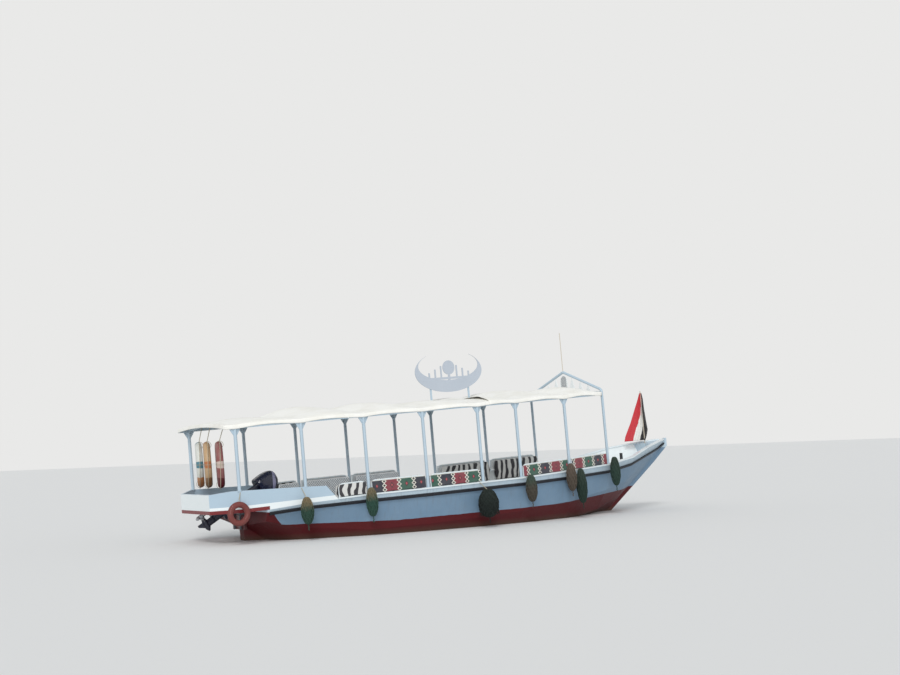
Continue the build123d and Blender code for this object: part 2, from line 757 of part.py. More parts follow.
# Mooring bollard: a black post on a round plate on the foredeck.
with BuildPart() as bollard:
    with BuildSketch(Plane.XY.offset(FOREDECK_TOP)):
        with Locations((BOLLARD_X, 0)):
            Circle(2 * BOLLARD_RADIUS)
    extrude(amount=BOLLARD_RADIUS / 3)
    with BuildSketch(Plane.XY.offset(FOREDECK_TOP)):
        with Locations((BOLLARD_X, 0)):
            Circle(BOLLARD_RADIUS)
    extrude(amount=BOLLARD_HEIGHT)
bollard.part.label = "bollard"
finished.append(bollard)

# Flagstaff in the bow and the flag that hangs from it.
staff_foot = cap_top(STAFF_X) - CAP_THICK
with BuildPart() as flagstaff:
    with BuildSketch(Plane.XY.offset(staff_foot)):
        with Locations((STAFF_X, 0)):
            Circle(STAFF_RADIUS)
    extrude(amount=STAFF_TOP - staff_foot)
    add(hull_shell.part, mode=Mode.SUBTRACT)
flagstaff.part.label = "flagstaff"
finished.append(flagstaff)

FLAG_OUTLINE = [(15, 2040), (-60, 1930), (-270, 1110), (-120, 1075), (20, 1120), (90, 1300), (45, 1900)]
with BuildPart() as flag:
    with BuildSketch(Plane.XZ.offset(-STAFF_RADIUS)):
        with BuildLine():
            Polyline(*[(STAFF_X + x, z) for x, z in FLAG_OUTLINE], close=True)
        make_face()
    extrude(amount=-FLAG_THICK)
flag.part.label = "flag"
finished.append(flag)


def rod(start, end, radius):
    """Round rod from one point to another."""
    line = Vector(*end) - Vector(*start)
    with BuildPart() as piece:
        with BuildSketch(Plane(origin=start, z_dir=line)):
            Circle(radius)
        extrude(amount=line.length)
    return piece.part


# Lifebuoys hung in a row under the aft bow, each turned a little from square.
facing = (cos(radians(LIFEBUOY_TURN)), -sin(radians(LIFEBUOY_TURN)), 0)
aft_bow_x = POSTS[0][0]
buoys = []
for name, x, y in LIFEBUOYS:
    with BuildPart() as lifebuoy:
        with Locations(Plane(origin=(x, y, LIFEBUOY_HEIGHT), z_dir=facing)):
            Torus(LIFEBUOY_RING, LIFEBUOY_TUBE)
    lifebuoy.part.label = name
    buoys.append(lifebuoy)
finished += buoys

# Lanyards of the lifebuoys, from the top of each ring to the bow.
with BuildPart() as lifebuoy_lanyards:
    for name, x, y in LIFEBUOYS:
        bow_share = 1 - (y / (post_y(aft_bow_x) - RAIL_SIZE / 2)) ** 2
        bow_z = CANOPY_HEIGHT + bow_share * (crown_top - CANOPY_HEIGHT - BOW_SIZE / 2)
        add(rod((x, y, LIFEBUOY_HEIGHT + LIFEBUOY_RING), (aft_bow_x, y, bow_z), LANYARD))
    for piece in buoys + [cross_bows]:
        add(piece.part, mode=Mode.SUBTRACT)
lifebuoy_lanyards.part.label = "lifebuoy_lanyards"
finished.append(lifebuoy_lanyards)

# Ring fender hung on the starboard quarter.
with BuildPart() as quarter_fender:
    with Locations(Plane(origin=QUARTER_PLACE, z_dir=(0, 1, 0))):
        Torus(QUARTER_RING, QUARTER_TUBE)
quarter_fender.part.label = "quarter_fender"
finished.append(quarter_fender)


def fender_y(x, radius):
    """Distance of a fender's axis from the centreline where it hangs clear of the strake."""
    return sheer_y(x) + STRAKE_PROUD + radius + SOFT_GAP


def fender_body(x, y, z, radius, length):
    """Fender with coned ends about an upright axis."""
    neck = radius / 3
    shoulder = length / 2 - 0.8 * radius
    with BuildPart() as body:
        with BuildSketch(Plane(origin=(x, y, z), x_dir=(1, 0, 0), z_dir=(0, -1, 0))):
            with BuildLine():
                Polyline((0, -length / 2), (neck, -length / 2), (radius, -shoulder), (radius, shoulder),
                         (neck, length / 2), (0, length / 2), close=True)
            make_face()
        revolve(axis=Axis((x, y, z), (0, 0, 1)))
    return body.part


# Fenders along the starboard side.
with BuildPart() as fenders_starboard:
    for x, z, radius, length in FENDERS:
        add(fender_body(x, -fender_y(x, radius), z, radius, length))
fenders_starboard.part.label = "fenders_starboard"
finished.append(fenders_starboard)

# Fenders along the port side.
with BuildPart() as fenders_port:
    for x, z, radius, length in FENDERS:
        add(fender_body(x, fender_y(x, radius), z, radius, length))
fenders_port.part.label = "fenders_port"
finished.append(fenders_port)

# Lanyards of the fenders, made fast at the gunwale caps and the aft bulwark.
with BuildPart() as fender_lanyards:
    for x, z, radius, length in FENDERS:
        on_bulwark = x < BULWARK_SIDE[-1][0]
        seat = (sheer_y(x) + CAP_PROUD, cap_top(x))
        if on_bulwark:
            seat = (between(x, BULWARK_SIDE, 1), between(x, BULWARK_SIDE, 2))
        for side in (-1, 1):
            low = (x, side * fender_y(x, radius), z + length / 2 - FOOT_TRIM)
            add(rod(low, (x, side * seat[0], seat[1] - CAP_THICK / 2), LANYARD))
    x, y, z = QUARTER_PLACE
    hook = (aft_bow_x, -BULWARK_STERN[1][1] + LANYARD, BULWARK_STERN[1][2] - CAP_THICK)
    add(rod((x, y, z + QUARTER_RING), hook, LANYARD))
    seats = (gunwale_caps, side_bulwarks, stern_bulwark)
    for piece in (fenders_starboard, fenders_port, quarter_fender, *seats):
        add(piece.part, mode=Mode.SUBTRACT)
fender_lanyards.part.label = "fender_lanyards"
finished.append(fender_lanyards)

# Transom board: the hardwood pad that the outboard motor clamps to.
board_aft = STERN - BOARD_THICK
with BuildPart() as transom_board:
    block = (board_aft, STERN, -BOARD_WIDTH / 2, BOARD_WIDTH / 2, BOARD_TOP - BOARD_DEPTH, BOARD_TOP)
    with Locations(middle(*block)):
        Box(*span(*block))
transom_board.part.label = "transom_board"
finished.append(transom_board)

# Clamp bracket: two cheeks hooked over the transom, joined by the tilt tube.
clamp_fore = STERN + PLANK
with BuildPart() as clamp_bracket:
    for side in (-1, 1):
        with BuildSketch(Plane.XZ.offset(side * CHEEK_Y)):
            with BuildLine():
                Polyline((clamp_fore + HOOK, BOARD_TOP - 3 * HOOK), (clamp_fore + HOOK, BOARD_TOP + HOOK),
                         (PIVOT_X + HOOK, PIVOT_Z + HOOK), (PIVOT_X - HOOK, PIVOT_Z + HOOK),
                         (board_aft - HOOK, BOARD_TOP), (board_aft - HOOK, BOARD_TOP - BOARD_DEPTH),
                         (board_aft, BOARD_TOP - BOARD_DEPTH), (board_aft, BOARD_TOP),
                         (clamp_fore, BOARD_TOP),
                         (clamp_fore, BOARD_TOP - 3 * HOOK), close=True)
            make_face()
        extrude(amount=CHEEK / 2, both=True)
    with BuildSketch(Plane.XZ):
        with Locations((PIVOT_X, PIVOT_Z)):
            Circle(TILT_TUBE)
    extrude(amount=CHEEK_Y, both=True)
clamp_bracket.part.label = "clamp_bracket"
finished.append(clamp_bracket)

# The motor below is drawn with its leg upright and its heights are from the tilt tube.
steer_x = PIVOT_X - STEER_OFFSET
leg_x = steer_x - SWIVEL_RADIUS - RUNNING_GAP - LEG_CHORD / 2
swivel_half = CHEEK_Y - CHEEK / 2 - RUNNING_GAP
knuckle = TILT_TUBE + 2 * RUNNING_GAP

# Swivel bracket: a block on the tilt tube and the upright tube that the motor turns in.
with BuildPart() as swivel_bracket:
    with BuildSketch(Plane.XZ):
        with BuildLine():
            Polyline((steer_x, PIVOT_Z - knuckle), (PIVOT_X + knuckle, PIVOT_Z - knuckle),
                     (PIVOT_X + knuckle, PIVOT_Z + knuckle), (steer_x, PIVOT_Z + 2 * knuckle), close=True)
        make_face()
    extrude(amount=swivel_half, both=True)
    with BuildSketch(Plane.XY.offset(PIVOT_Z + SWIVEL_LOW)):
        with Locations((steer_x, 0)):
            Circle(SWIVEL_RADIUS)
    extrude(amount=SWIVEL_TOP - SWIVEL_LOW)
    with BuildSketch(Plane.XZ):
        with Locations((PIVOT_X, PIVOT_Z)):
            Circle(TILT_TUBE + BEARING_GAP)
    extrude(amount=wide, both=True, mode=Mode.SUBTRACT)
    with BuildSketch(Plane.XY.offset(PIVOT_Z)):
        with Locations((steer_x, 0)):
            Circle(STEER_SHAFT + BEARING_GAP)
    extrude(amount=wide, both=True, mode=Mode.SUBTRACT)
swivel_bracket.part.label = "swivel_bracket"

# Motor leg: midsection, yokes on the steering shaft, plate, gearcase and skeg.
leg_low = PIVOT_Z - LEG_LENGTH
skeg_root = leg_low - HUB_RADIUS / 2
with BuildPart() as motor_leg:
    with BuildSketch(Plane.XY.offset(leg_low + HUB_RADIUS / 2)):
        with Locations((leg_x, 0)):
            Ellipse(LEG_CHORD / 2, LEG_WIDTH / 2)
    extrude(amount=LEG_LENGTH + COWL_BASE - HUB_RADIUS / 2)
    for low in (SWIVEL_TOP + RUNNING_GAP, SWIVEL_LOW - RUNNING_GAP - YOKE):
        block = (leg_x, steer_x + YOKE / 2, -YOKE_HALF, YOKE_HALF,
                 PIVOT_Z + low, PIVOT_Z + low + YOKE)
        with Locations(middle(*block)):
            Box(*span(*block))
    with BuildSketch(Plane.XY.offset(PIVOT_Z + SWIVEL_LOW - YOKE)):
        with Locations((steer_x, 0)):
            Circle(STEER_SHAFT)
    extrude(amount=SWIVEL_TOP - SWIVEL_LOW + 2 * YOKE)
    plate = (leg_x - PLATE_AFT, leg_x + PLATE_FORE, -PLATE_HALF, PLATE_HALF,
             leg_low + PROP_RADIUS + 3 * RUNNING_GAP, leg_low + PROP_RADIUS + 5 * RUNNING_GAP)
    with Locations(middle(*plate)):
        Box(*span(*plate))
    with BuildSketch(Plane.XY.offset(leg_low)):
        with BuildLine():
            profile = [(leg_x + x, radius) for x, radius in GEARCASE]
            Polyline((profile[0][0], 0), *profile, (profile[-1][0], 0), close=True)
        make_face()
    revolve(axis=Axis((leg_x, 0, leg_low), (1, 0, 0)))
    with BuildSketch(Plane.XZ):
        with BuildLine():
            Polyline((leg_x + LEG_CHORD / 2, skeg_root), (leg_x - LEG_CHORD / 2, skeg_root),
                     (leg_x - LEG_CHORD / 2, leg_low - SKEG), (leg_x - LEG_CHORD / 5, leg_low - SKEG),
                     close=True)
        make_face()
    extrude(amount=BLADE_THICK, both=True)
motor_leg.part.label = "motor_leg"

# Motor cowl: rounded cover over the powerhead.
with BuildPart() as motor_cowl:
    with BuildSketch(Plane.XY.offset(PIVOT_Z + COWL_BASE)):
        with Locations((leg_x + COWL_FORE, 0)):
            RectangleRounded(COWL_LENGTH, COWL_WIDTH, COWL_CORNER)
    extrude(amount=COWL_HEIGHT)
    fillet(motor_cowl.faces().sort_by(Axis.Z)[-1].edges(), radius=0.7 * COWL_CORNER)
motor_cowl.part.label = "motor_cowl"

# Tiller: the steering arm with its grip, from the front of the leg.
with BuildPart() as tiller:
    arm_z = PIVOT_Z + TILLER_HEIGHT
    grip_end = (steer_x + TILLER_REACH, 0, arm_z)
    add(rod((leg_x, 0, arm_z), grip_end, TILLER_RADIUS))
    add(rod((steer_x + 0.7 * TILLER_REACH, 0, arm_z), grip_end, 1.4 * TILLER_RADIUS))
    add(motor_leg.part, mode=Mode.SUBTRACT)
tiller.part.label = "tiller"

# Propeller: flat pitched blades on a bored hub.
prop_x = leg_x - PROP_OFFSET
blade_half = (PROP_RADIUS - HUB_RADIUS + 2 * BLADE_THICK) / 2
with BuildPart() as propeller:
    with Locations(Plane(origin=(prop_x, 0, leg_low), z_dir=(1, 0, 0))):
        Cylinder(HUB_RADIUS, HUB_LENGTH)
    for blade in range(BLADES):
        turn = radians(90 + 360 * blade / BLADES)
        outward = (0, cos(turn), sin(turn))
        pitch = radians(PROP_PITCH)
        normal = (cos(pitch), -sin(turn) * sin(pitch), cos(turn) * sin(pitch))
        with BuildSketch(Plane(origin=(prop_x, 0, leg_low), x_dir=outward, z_dir=normal)):
            with Locations((PROP_RADIUS - blade_half, 0)):
                Ellipse(blade_half, 0.8 * blade_half)
        extrude(amount=BLADE_THICK / 2, both=True)
    with Locations(Plane(origin=(prop_x, 0, leg_low), z_dir=(1, 0, 0))):
        Cylinder(PROP_SHAFT + 2 * BEARING_GAP, 2 * HUB_LENGTH, mode=Mode.SUBTRACT)
propeller.part.label = "propeller"

# Rest pose: the motor tilted up about its pivot, and the whole boat turned to her trim.
tilted = Pos(PIVOT_X, 0, PIVOT_Z) * Rot(0, TILT, 0) * Pos(-PIVOT_X, 0, -PIVOT_Z)
afloat = Rot(0, -TRIM, 0)
motor_pieces = [swivel_bracket, motor_leg, motor_cowl, tiller, propeller]

os.makedirs("parts", exist_ok=True)
for piece in finished:
    label = piece.part.label
    placed = piece.part.moved(afloat)
    placed.label = label
    export_step(placed, f"parts/{label}.step")
for piece in motor_pieces:
    label = piece.part.label
    placed = piece.part.moved(afloat * tilted)
    placed.label = label
    export_step(placed, f"parts/{label}.step")
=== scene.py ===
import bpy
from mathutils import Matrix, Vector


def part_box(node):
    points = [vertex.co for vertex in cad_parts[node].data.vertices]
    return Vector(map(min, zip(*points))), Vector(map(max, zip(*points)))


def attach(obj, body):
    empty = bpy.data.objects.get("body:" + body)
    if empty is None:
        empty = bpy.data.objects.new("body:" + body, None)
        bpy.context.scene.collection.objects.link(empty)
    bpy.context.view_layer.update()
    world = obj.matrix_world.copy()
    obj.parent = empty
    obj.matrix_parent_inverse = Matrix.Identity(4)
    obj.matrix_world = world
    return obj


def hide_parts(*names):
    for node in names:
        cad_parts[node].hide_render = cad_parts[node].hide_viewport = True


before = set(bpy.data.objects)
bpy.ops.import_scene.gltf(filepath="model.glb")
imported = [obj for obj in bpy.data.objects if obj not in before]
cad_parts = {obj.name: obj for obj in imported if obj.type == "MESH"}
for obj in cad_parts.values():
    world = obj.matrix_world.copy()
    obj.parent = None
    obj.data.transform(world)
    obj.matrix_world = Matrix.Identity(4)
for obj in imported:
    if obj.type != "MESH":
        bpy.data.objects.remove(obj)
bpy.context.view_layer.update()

import bpy
import bmesh
from math import atan2, cos, sin, pi, radians, hypot, sqrt
from mathutils import Vector

# Planked hull: boards over sawn frames, filled and brushed with oil enamel in three bands:
# red oxide on the bottom, slate blue on the side and a paler blue above the rubbing strake. The
# slate blue is darkened with painted shade, the shade the lower side lies in.
# The boat lies trimmed bow up, so a point drawn on her base line is turned by that trim.
TRIM = radians(3.5)
SHADED_SLATE_BLUE = "64819A"
PALE_BLUE = "B4C7D3"
RED_OXIDE = "560A12"
SCUM = "4A4436"
BLACK = (0, 0, 0, 1)
WHITE = (1, 1, 1, 1)
LINE_REACH = 5.0
# Upper edge of the red oxide along the boat. Its aft rows raise the red up the stern under the counter,
# where it is partly the red bottom and partly painted shade under the counter.
BOOT_AND_STERN_SHADE_LINE = [(-4.95, .52), (-4.30, .47), (-4.18, .335), (-4.10, .262), (-2.2, .222), (-.6, .253),
             (1.2, .284), (2.6, .385), (4.9, .49)]
STRAKE_LINE = [(-4.35, .451), (-3.7, .508), (-2.6, .562), (-.5, .650), (.3, .681), (1.5, .738), (2.6, .80),
               (3.4, .904), (4.1, 1.052), (4.95, 1.20)]


def afloat(x, y, z):
    """A point of the base-line drawing, in metres, turned to the trim the boat floats at."""
    return Vector((x * cos(TRIM) - z * sin(TRIM), y, x * sin(TRIM) + z * cos(TRIM)))


def paint(code):
    """sRGB hex colour as the linear RGBA that shader sockets take."""
    parts = [int(code[i:i + 2], 16) / 255 for i in (0, 2, 4)]
    return tuple(c / 12.92 if c <= .04045 else ((c + .055) / 1.055) ** 2.4 for c in parts) + (1,)


USUAL = {"Mix": {"data_type": "RGBA"}, "TexNoise": {"Detail": 4.0, "Roughness": .6}}


def put(mat, kind, *values, stops=(), **named):
    """Adds one node with its settings and links. Values fill its sockets in order and names set the
    setting or the socket so named; a kind may end in its operation, and a node stands for its first
    output. A pattern's scale is 1000 over the real size of its features in millimetres."""
    kind, _, operation = kind.partition(":")
    node = mat.node_tree.nodes.new("ShaderNode" + kind)
    if operation:
        node.operation = operation
    sockets = {}
    for key, value in {**USUAL.get(kind, {}), **named}.items():
        if hasattr(node, key):
            setattr(node, key, value)
        else:
            sockets[node.inputs[key.replace("_", " ")]] = value
    sockets.update(zip([socket for socket in node.inputs if socket.enabled], values))
    for socket, value in sockets.items():
        join(mat, value, socket)
    for spare, (place, colour) in enumerate(stops):
        elements = node.color_ramp.elements
        stop = elements[spare] if spare < 2 else elements.new(place)
        stop.position, stop.color = place, colour
    return node


def join(mat, value, socket):
    """Links an output, or the first output of a node, to a socket; a plain value is set there."""
    if isinstance(value, bpy.types.Node):
        value = next(output for output in value.outputs if output.enabled)
    if isinstance(value, bpy.types.NodeSocket):
        mat.node_tree.links.new(value, socket)
    else:
        socket.default_value = value


def start(name, roughness=.5, metallic=0.0, **sockets):
    """A new material with its shader: returns the material, the shader and Object coordinates."""
    mat = bpy.data.materials.new(name)
    mat.use_nodes = True
    shader = mat.node_tree.nodes["Principled BSDF"]
    shader.inputs["Roughness"].default_value = roughness
    shader.inputs["Metallic"].default_value = metallic
    for key, value in sockets.items():
        shader.inputs[key.replace("_", " ")].default_value = value
    where = put(mat, "TexCoord").outputs["Object"]
    return mat, shader, where


def blotched(mat, where, size_mm, share, colour, other):
    """A colour that drifts by a share towards another, in blotches of a real size."""
    blotches = put(mat, "TexNoise", where, 1000 / size_mm)
    return put(mat, "Mix", put(mat, "Math:MULTIPLY", blotches, share), colour, other)


def uneven(mat, where, size_mm, least, spread):
    """A number that wanders upwards from its least by a spread, in blotches of a real size."""
    blotches = put(mat, "TexNoise", where, 1000 / size_mm)
    return put(mat, "Math:ADD", least, put(mat, "Math:MULTIPLY", blotches, spread))


def height_line(mat, along, points):
    """Height of a line drawn on the hull, at each place along the boat."""
    share = put(mat, "MapRange", along, -LINE_REACH, LINE_REACH, 0.0, 1.0)
    stops = [((x + LINE_REACH) / 2 / LINE_REACH, (z, z, z, 1)) for x, z in points]
    return put(mat, "ValToRGB", share, stops=stops)


def hull_enamel():
    """Brushed oil enamel on planks: satin, with lap lines, chalky bloom, rain runs and a scum line."""
    mat, shader, where = start("brushed_oil_enamel_hull", roughness=.5, Specular_IOR_Level=.3)
    axis = put(mat, "SeparateXYZ", where).outputs
    wander = put(mat, "Math:SUBTRACT", put(mat, "TexNoise", where, 1000 / 220), .5)
    height = put(mat, "Math:ADD", axis[2], put(mat, "Math:MULTIPLY", wander, .02))
    above_strake = put(mat, "Math:GREATER_THAN", height, height_line(mat, axis[0], STRAKE_LINE))
    # Below the strake the slate blue carries painted shade; above it lies the paler blue.
    blue = put(mat, "Mix", above_strake, paint(SHADED_SLATE_BLUE), paint(PALE_BLUE))
    chalk = blotched(mat, where, 420, .14, blue, paint("D3DFE6"))
    rain = put(mat, "TexNoise", put(mat, "Mapping", where, Scale=(1, 1, .12)), 1000 / 45)
    runs = put(mat, "ValToRGB", rain, stops=[(.52, BLACK), (.75, WHITE)])
    dirty = put(mat, "Mix", put(mat, "Math:MULTIPLY", runs, .28), chalk, paint("6C7274"))
    oxide = blotched(mat, where, 130, .5, paint(RED_OXIDE), paint("3E0D10"))
    scum = put(mat, "Math:SUBTRACT", 1.0, put(mat, "Math:MULTIPLY", height, 9.0))
    scum = put(mat, "Math:MULTIPLY", put(mat, "Clamp", scum), .65)
    wet = put(mat, "Mix", scum, oxide, paint(SCUM))
    # Red below this line, raised at the stern as painted shade under the counter.
    top = put(mat, "Math:GREATER_THAN", height, height_line(mat, axis[0], BOOT_AND_STERN_SHADE_LINE))
    facing = put(mat, "SeparateXYZ", put(mat, "TexCoord").outputs["Normal"]).outputs[1]
    within = put(mat, "Math:LESS_THAN", put(mat, "Math:MULTIPLY", facing, axis[1]), -.01)
    lining = blotched(mat, where, 200, .4, paint("E2E8E8"), paint("BFCBD0"))
    join(mat, put(mat, "Mix", within, put(mat, "Mix", top, wet, dirty), lining), shader.inputs["Base Color"])
    join(mat, uneven(mat, where, 60, .40, .25), shader.inputs["Roughness"])
    seams = put(mat, "TexWave", where, bands_direction="Z", Scale=1.1, Distortion=.6, Detail=1.0)
    ridge = put(mat, "ValToRGB", seams.outputs["Fac"], stops=[(.0, BLACK), (.05, WHITE)])
    strokes = put(mat, "TexNoise", put(mat, "Mapping", where, Scale=(.08, 1, 1)), 1000 / 9)
    relief = put(mat, "Math:ADD", ridge, put(mat, "Math:MULTIPLY", strokes, .35))
    join(mat, put(mat, "Bump", Height=relief, Distance=1.2 / 1000, Strength=.6), shader.inputs["Normal"])
    return mat


def dress(material, *names):
    """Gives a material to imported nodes."""
    for name in names:
        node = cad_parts[name]
        node.data.materials.clear()
        node.data.materials.append(material)


dress(hull_enamel(), "hull_shell", "keel_and_stem")


# Counter, aft bulwark and gunwale caps: boards capped with a plank and brushed in the pale enamel,
# with white on the caps, along the bulwark's foot and across its stern face. The counter slab is
# brushed in red oxide.
def brushed_enamel(name, colour, worn, size_mm=300, gloss=.35, chips=.12):
    """Brushed enamel over wood or tube: satin, drifting in tone, chipped to the older coat."""
    mat, shader, where = start(name, roughness=gloss, Coat_Weight=.2)
    tone = blotched(mat, where, size_mm, .45, paint(colour), paint(worn))
    specks = put(mat, "TexNoise", where, 1000 / 24, Detail=8)
    flakes = put(mat, "ValToRGB", specks, stops=[(.64, BLACK), (.68, WHITE)])
    chipped = put(mat, "Mix", put(mat, "Math:MULTIPLY", flakes, chips), tone, paint("5D5A52"))
    join(mat, chipped, shader.inputs["Base Color"])
    join(mat, uneven(mat, where, 50, gloss - .1, .25), shader.inputs["Roughness"])
    pits = put(mat, "Math:MULTIPLY", flakes, -.6)
    relief = put(mat, "Math:ADD", put(mat, "TexNoise", where, 1000 / 14), pits)
    join(mat, put(mat, "Bump", Height=relief, Distance=.5 / 1000, Strength=.5), shader.inputs["Normal"])
    return mat


FOOT_BAND_SLOPE = .061
FOOT_BAND_TOP = .882


def bulwark_enamel():
    """Pale blue enamel with a white band along the foot and a white stern face."""
    mat = brushed_enamel("brushed_oil_enamel_pale", "AFC3D1", "9CB3C3")
    shader = mat.node_tree.nodes["Principled BSDF"]
    blue = shader.inputs["Base Color"].links[0].from_socket
    coords = put(mat, "TexCoord").outputs
    axis = put(mat, "SeparateXYZ", coords["Object"]).outputs
    aft = put(mat, "SeparateXYZ", coords["Normal"]).outputs[0]
    line = put(mat, "Math:ADD", put(mat, "Math:MULTIPLY", axis[0], FOOT_BAND_SLOPE), FOOT_BAND_TOP)
    foot = put(mat, "Math:LESS_THAN", axis[2], line)
    white = put(mat, "Math:MAXIMUM", foot, put(mat, "Math:LESS_THAN", aft, -.8))
    join(mat, put(mat, "Mix", white, blue, paint("E4EBEC")), shader.inputs["Base Color"])
    return mat


white_enamel = brushed_enamel("brushed_oil_enamel_white", "DFE7E9", "C3CFD5")
dress(bulwark_enamel(), "side_bulwarks", "stern_bulwark")
dress(white_enamel, "gunwale_caps")
dress(brushed_enamel("brushed_red_oxide", "7A1A1E", "4E1013"), "counter")


# Rubbing strakes: hardwood strips faced with black rubber sheet and fastened along both sides
# where the two blues meet; the rubber is scuffed grey in long streaks.
def strake_rubber():
    """Black rubber, dusty and scuffed grey where it rubs."""
    mat, shader, where = start("moulded_rubber_strake", roughness=.62)
    streaks = put(mat, "TexNoise", put(mat, "Mapping", where, Scale=(.15, 1, 1)), 1000 / 18)
    scuffs = put(mat, "ValToRGB", streaks, stops=[(.55, BLACK), (.8, WHITE)])
    rubber = put(mat, "Mix", put(mat, "Math:MULTIPLY", scuffs, .5), paint("12131C"), paint("4B4D55"))
    join(mat, rubber, shader.inputs["Base Color"])
    pores = put(mat, "TexNoise", where, 1000 / 8)
    join(mat, put(mat, "Bump", Height=pores, Distance=.6 / 1000, Strength=.6), shader.inputs["Normal"])
    return mat


dress(strake_rubber(), "rubbing_strakes")


# Decks, benches and transom board: softwood boards laid fore and aft and nailed to beams, rolled
# with pale grey-blue deck paint that is worn to the wood where feet pass. The foredeck is white
# and the motor's board is hardwood under a dark red oxide, darkened with painted shade for the
# shade under the counter.
BOARD_WIDTH = .12
SEAM_HALF = .0022


def deck_paint():
    """Deck paint over boards laid fore and aft, with dark seams and foot wear."""
    mat, shader, where = start("rolled_deck_paint", roughness=.6)
    axis = put(mat, "SeparateXYZ", where).outputs
    board = put(mat, "Math:WRAP", axis[1], BOARD_WIDTH / 2, -BOARD_WIDTH / 2)
    seam = put(mat, "Math:LESS_THAN", put(mat, "Math:ABSOLUTE", board), SEAM_HALF)
    grain = put(mat, "Mapping", where, Scale=(.06, 1, 1))
    worn = put(mat, "ValToRGB", put(mat, "TexNoise", where, 1000 / 500), stops=[(.5, BLACK), (.72, WHITE)])
    wood = put(mat, "Mix", put(mat, "TexNoise", grain, 1000 / 9), paint("8B7A62"), paint("655640"))
    coat = blotched(mat, where, 160, .5, paint("AEBBC0"), paint("8F9EA6"))
    face = put(mat, "Mix", put(mat, "Math:MULTIPLY", worn, .55), coat, wood)
    join(mat, put(mat, "Mix", seam, face, paint("2E2B27")), shader.inputs["Base Color"])
    fibres = put(mat, "Math:MULTIPLY", put(mat, "TexNoise", grain, 1000 / 12), .4)
    relief = put(mat, "Math:SUBTRACT", fibres, seam)
    join(mat, put(mat, "Bump", Height=relief, Distance=1.0 / 1000, Strength=.6), shader.inputs["Normal"])
    return mat


planked = deck_paint()
dress(planked, "sole", "stern_sheets", "benches")
# The motor's board: dark red oxide that also carries painted shade, the shade under the counter.
dress(brushed_enamel("brushed_red_oxide_and_shade_hardwood", "5A1518", "3A0E10", size_mm=90), "transom_board")
dress(brushed_enamel("brushed_deck_enamel_white", "E4EAEA", "C6CFD1", chips=.25), "foredeck")


# Canopy frame: steel tube posts with welded gusset plates, square rails and flat bows, all
# brushed in the pale enamel and chipped here and there to the older coat.
frame_enamel = brushed_enamel("brushed_enamel_on_steel", "B4C6D2", "98AEBD", size_mm=180, chips=.3)
dress(frame_enamel, "posts", "canopy_rails", "cross_bows", "front_hoop", "sign_uprights")
dress(white_enamel, "side_rails")
# The sign's plate is painted grey-blue: painted shade, the shade its face lies in.
dress(brushed_enamel("brushed_enamel_plate_shaded_grey", "B6BEC8", "A2ACB7", chips=.1), "roof_sign")


LOBE_HALF = .085
STRIPE_PITCH = .025
STRIPE_HALF = .0062


def gable_enamel():
    """White enamel plate; the middle lobe carries dark upright stripes."""
    mat = brushed_enamel("brushed_enamel_plate_white", "E8ECEC", "D2D8DA", chips=.1)
    shader = mat.node_tree.nodes["Principled BSDF"]
    white = shader.inputs["Base Color"].links[0].from_socket
    axis = put(mat, "SeparateXYZ", put(mat, "TexCoord").outputs["Object"]).outputs
    lobe = put(mat, "Math:LESS_THAN", put(mat, "Math:ABSOLUTE", axis[1]), LOBE_HALF)
    shifted = put(mat, "Math:ADD", axis[1], STRIPE_PITCH / 2)
    stripe = put(mat, "Math:LESS_THAN", put(mat, "Math:PINGPONG", shifted, STRIPE_PITCH / 2), STRIPE_HALF)
    dark = put(mat, "Math:MULTIPLY", lobe, stripe)
    join(mat, put(mat, "Mix", dark, white, paint("1C2233")), shader.inputs["Base Color"])
    return mat


dress(gable_enamel(), "gable_ornament")
dress(brushed_enamel("brushed_enamel_rod", "C9BFAE", "AFA595", chips=.2), "aerial", "flagstaff")


# Canopy: two white cotton canvases laced over the bows and rails, the fore one lapped over the aft
# one; both fill and lift between the bows, and their hems hang over the rails.
RAIL_PLAN = [(-4.93, .895), (-4.75, .92), (-3.70, 1.08), (-2.64, 1.22), (-1.56, 1.31), (-.47, 1.36),
             (.36, 1.35), (1.55, 1.25), (2.6145, 1.0739)]
BOWS = [-4.75, -3.70, -2.64, -1.56, -.47, .36, 1.55, 2.53]
LIFTS = [.055, .125, .105, .085, .075, .110, .100, .030]
LAP = (-.22, .16)
RAIL_TOP = 2.1275
RAIL_FACE = .0275
CROWN = .052
HEM = .058
HEM_SHARE = .05
LAP_LIFT = .050
LAP_REACH = .60
CANVAS = .003
CLOTH_STEP = .05
THREAD_MM = 1.4


def along(x, table):
    """Value at x in a table of (x, value), straight between its rows."""
    for (xa, a), (xb, b) in zip(table, table[1:]):
        if x <= xb:
            break
    return a + (b - a) * (x - xa) / (xb - xa)


def bay(x):
    """Lift of the bay at x, and 0 over a bow to 1 in the middle between two bows."""
    for lift, a, b in zip(LIFTS, BOWS, BOWS[1:]):
        if a <= x <= b:
            return lift, sin(pi * (x - a) / (b - a))
    return 0, 0


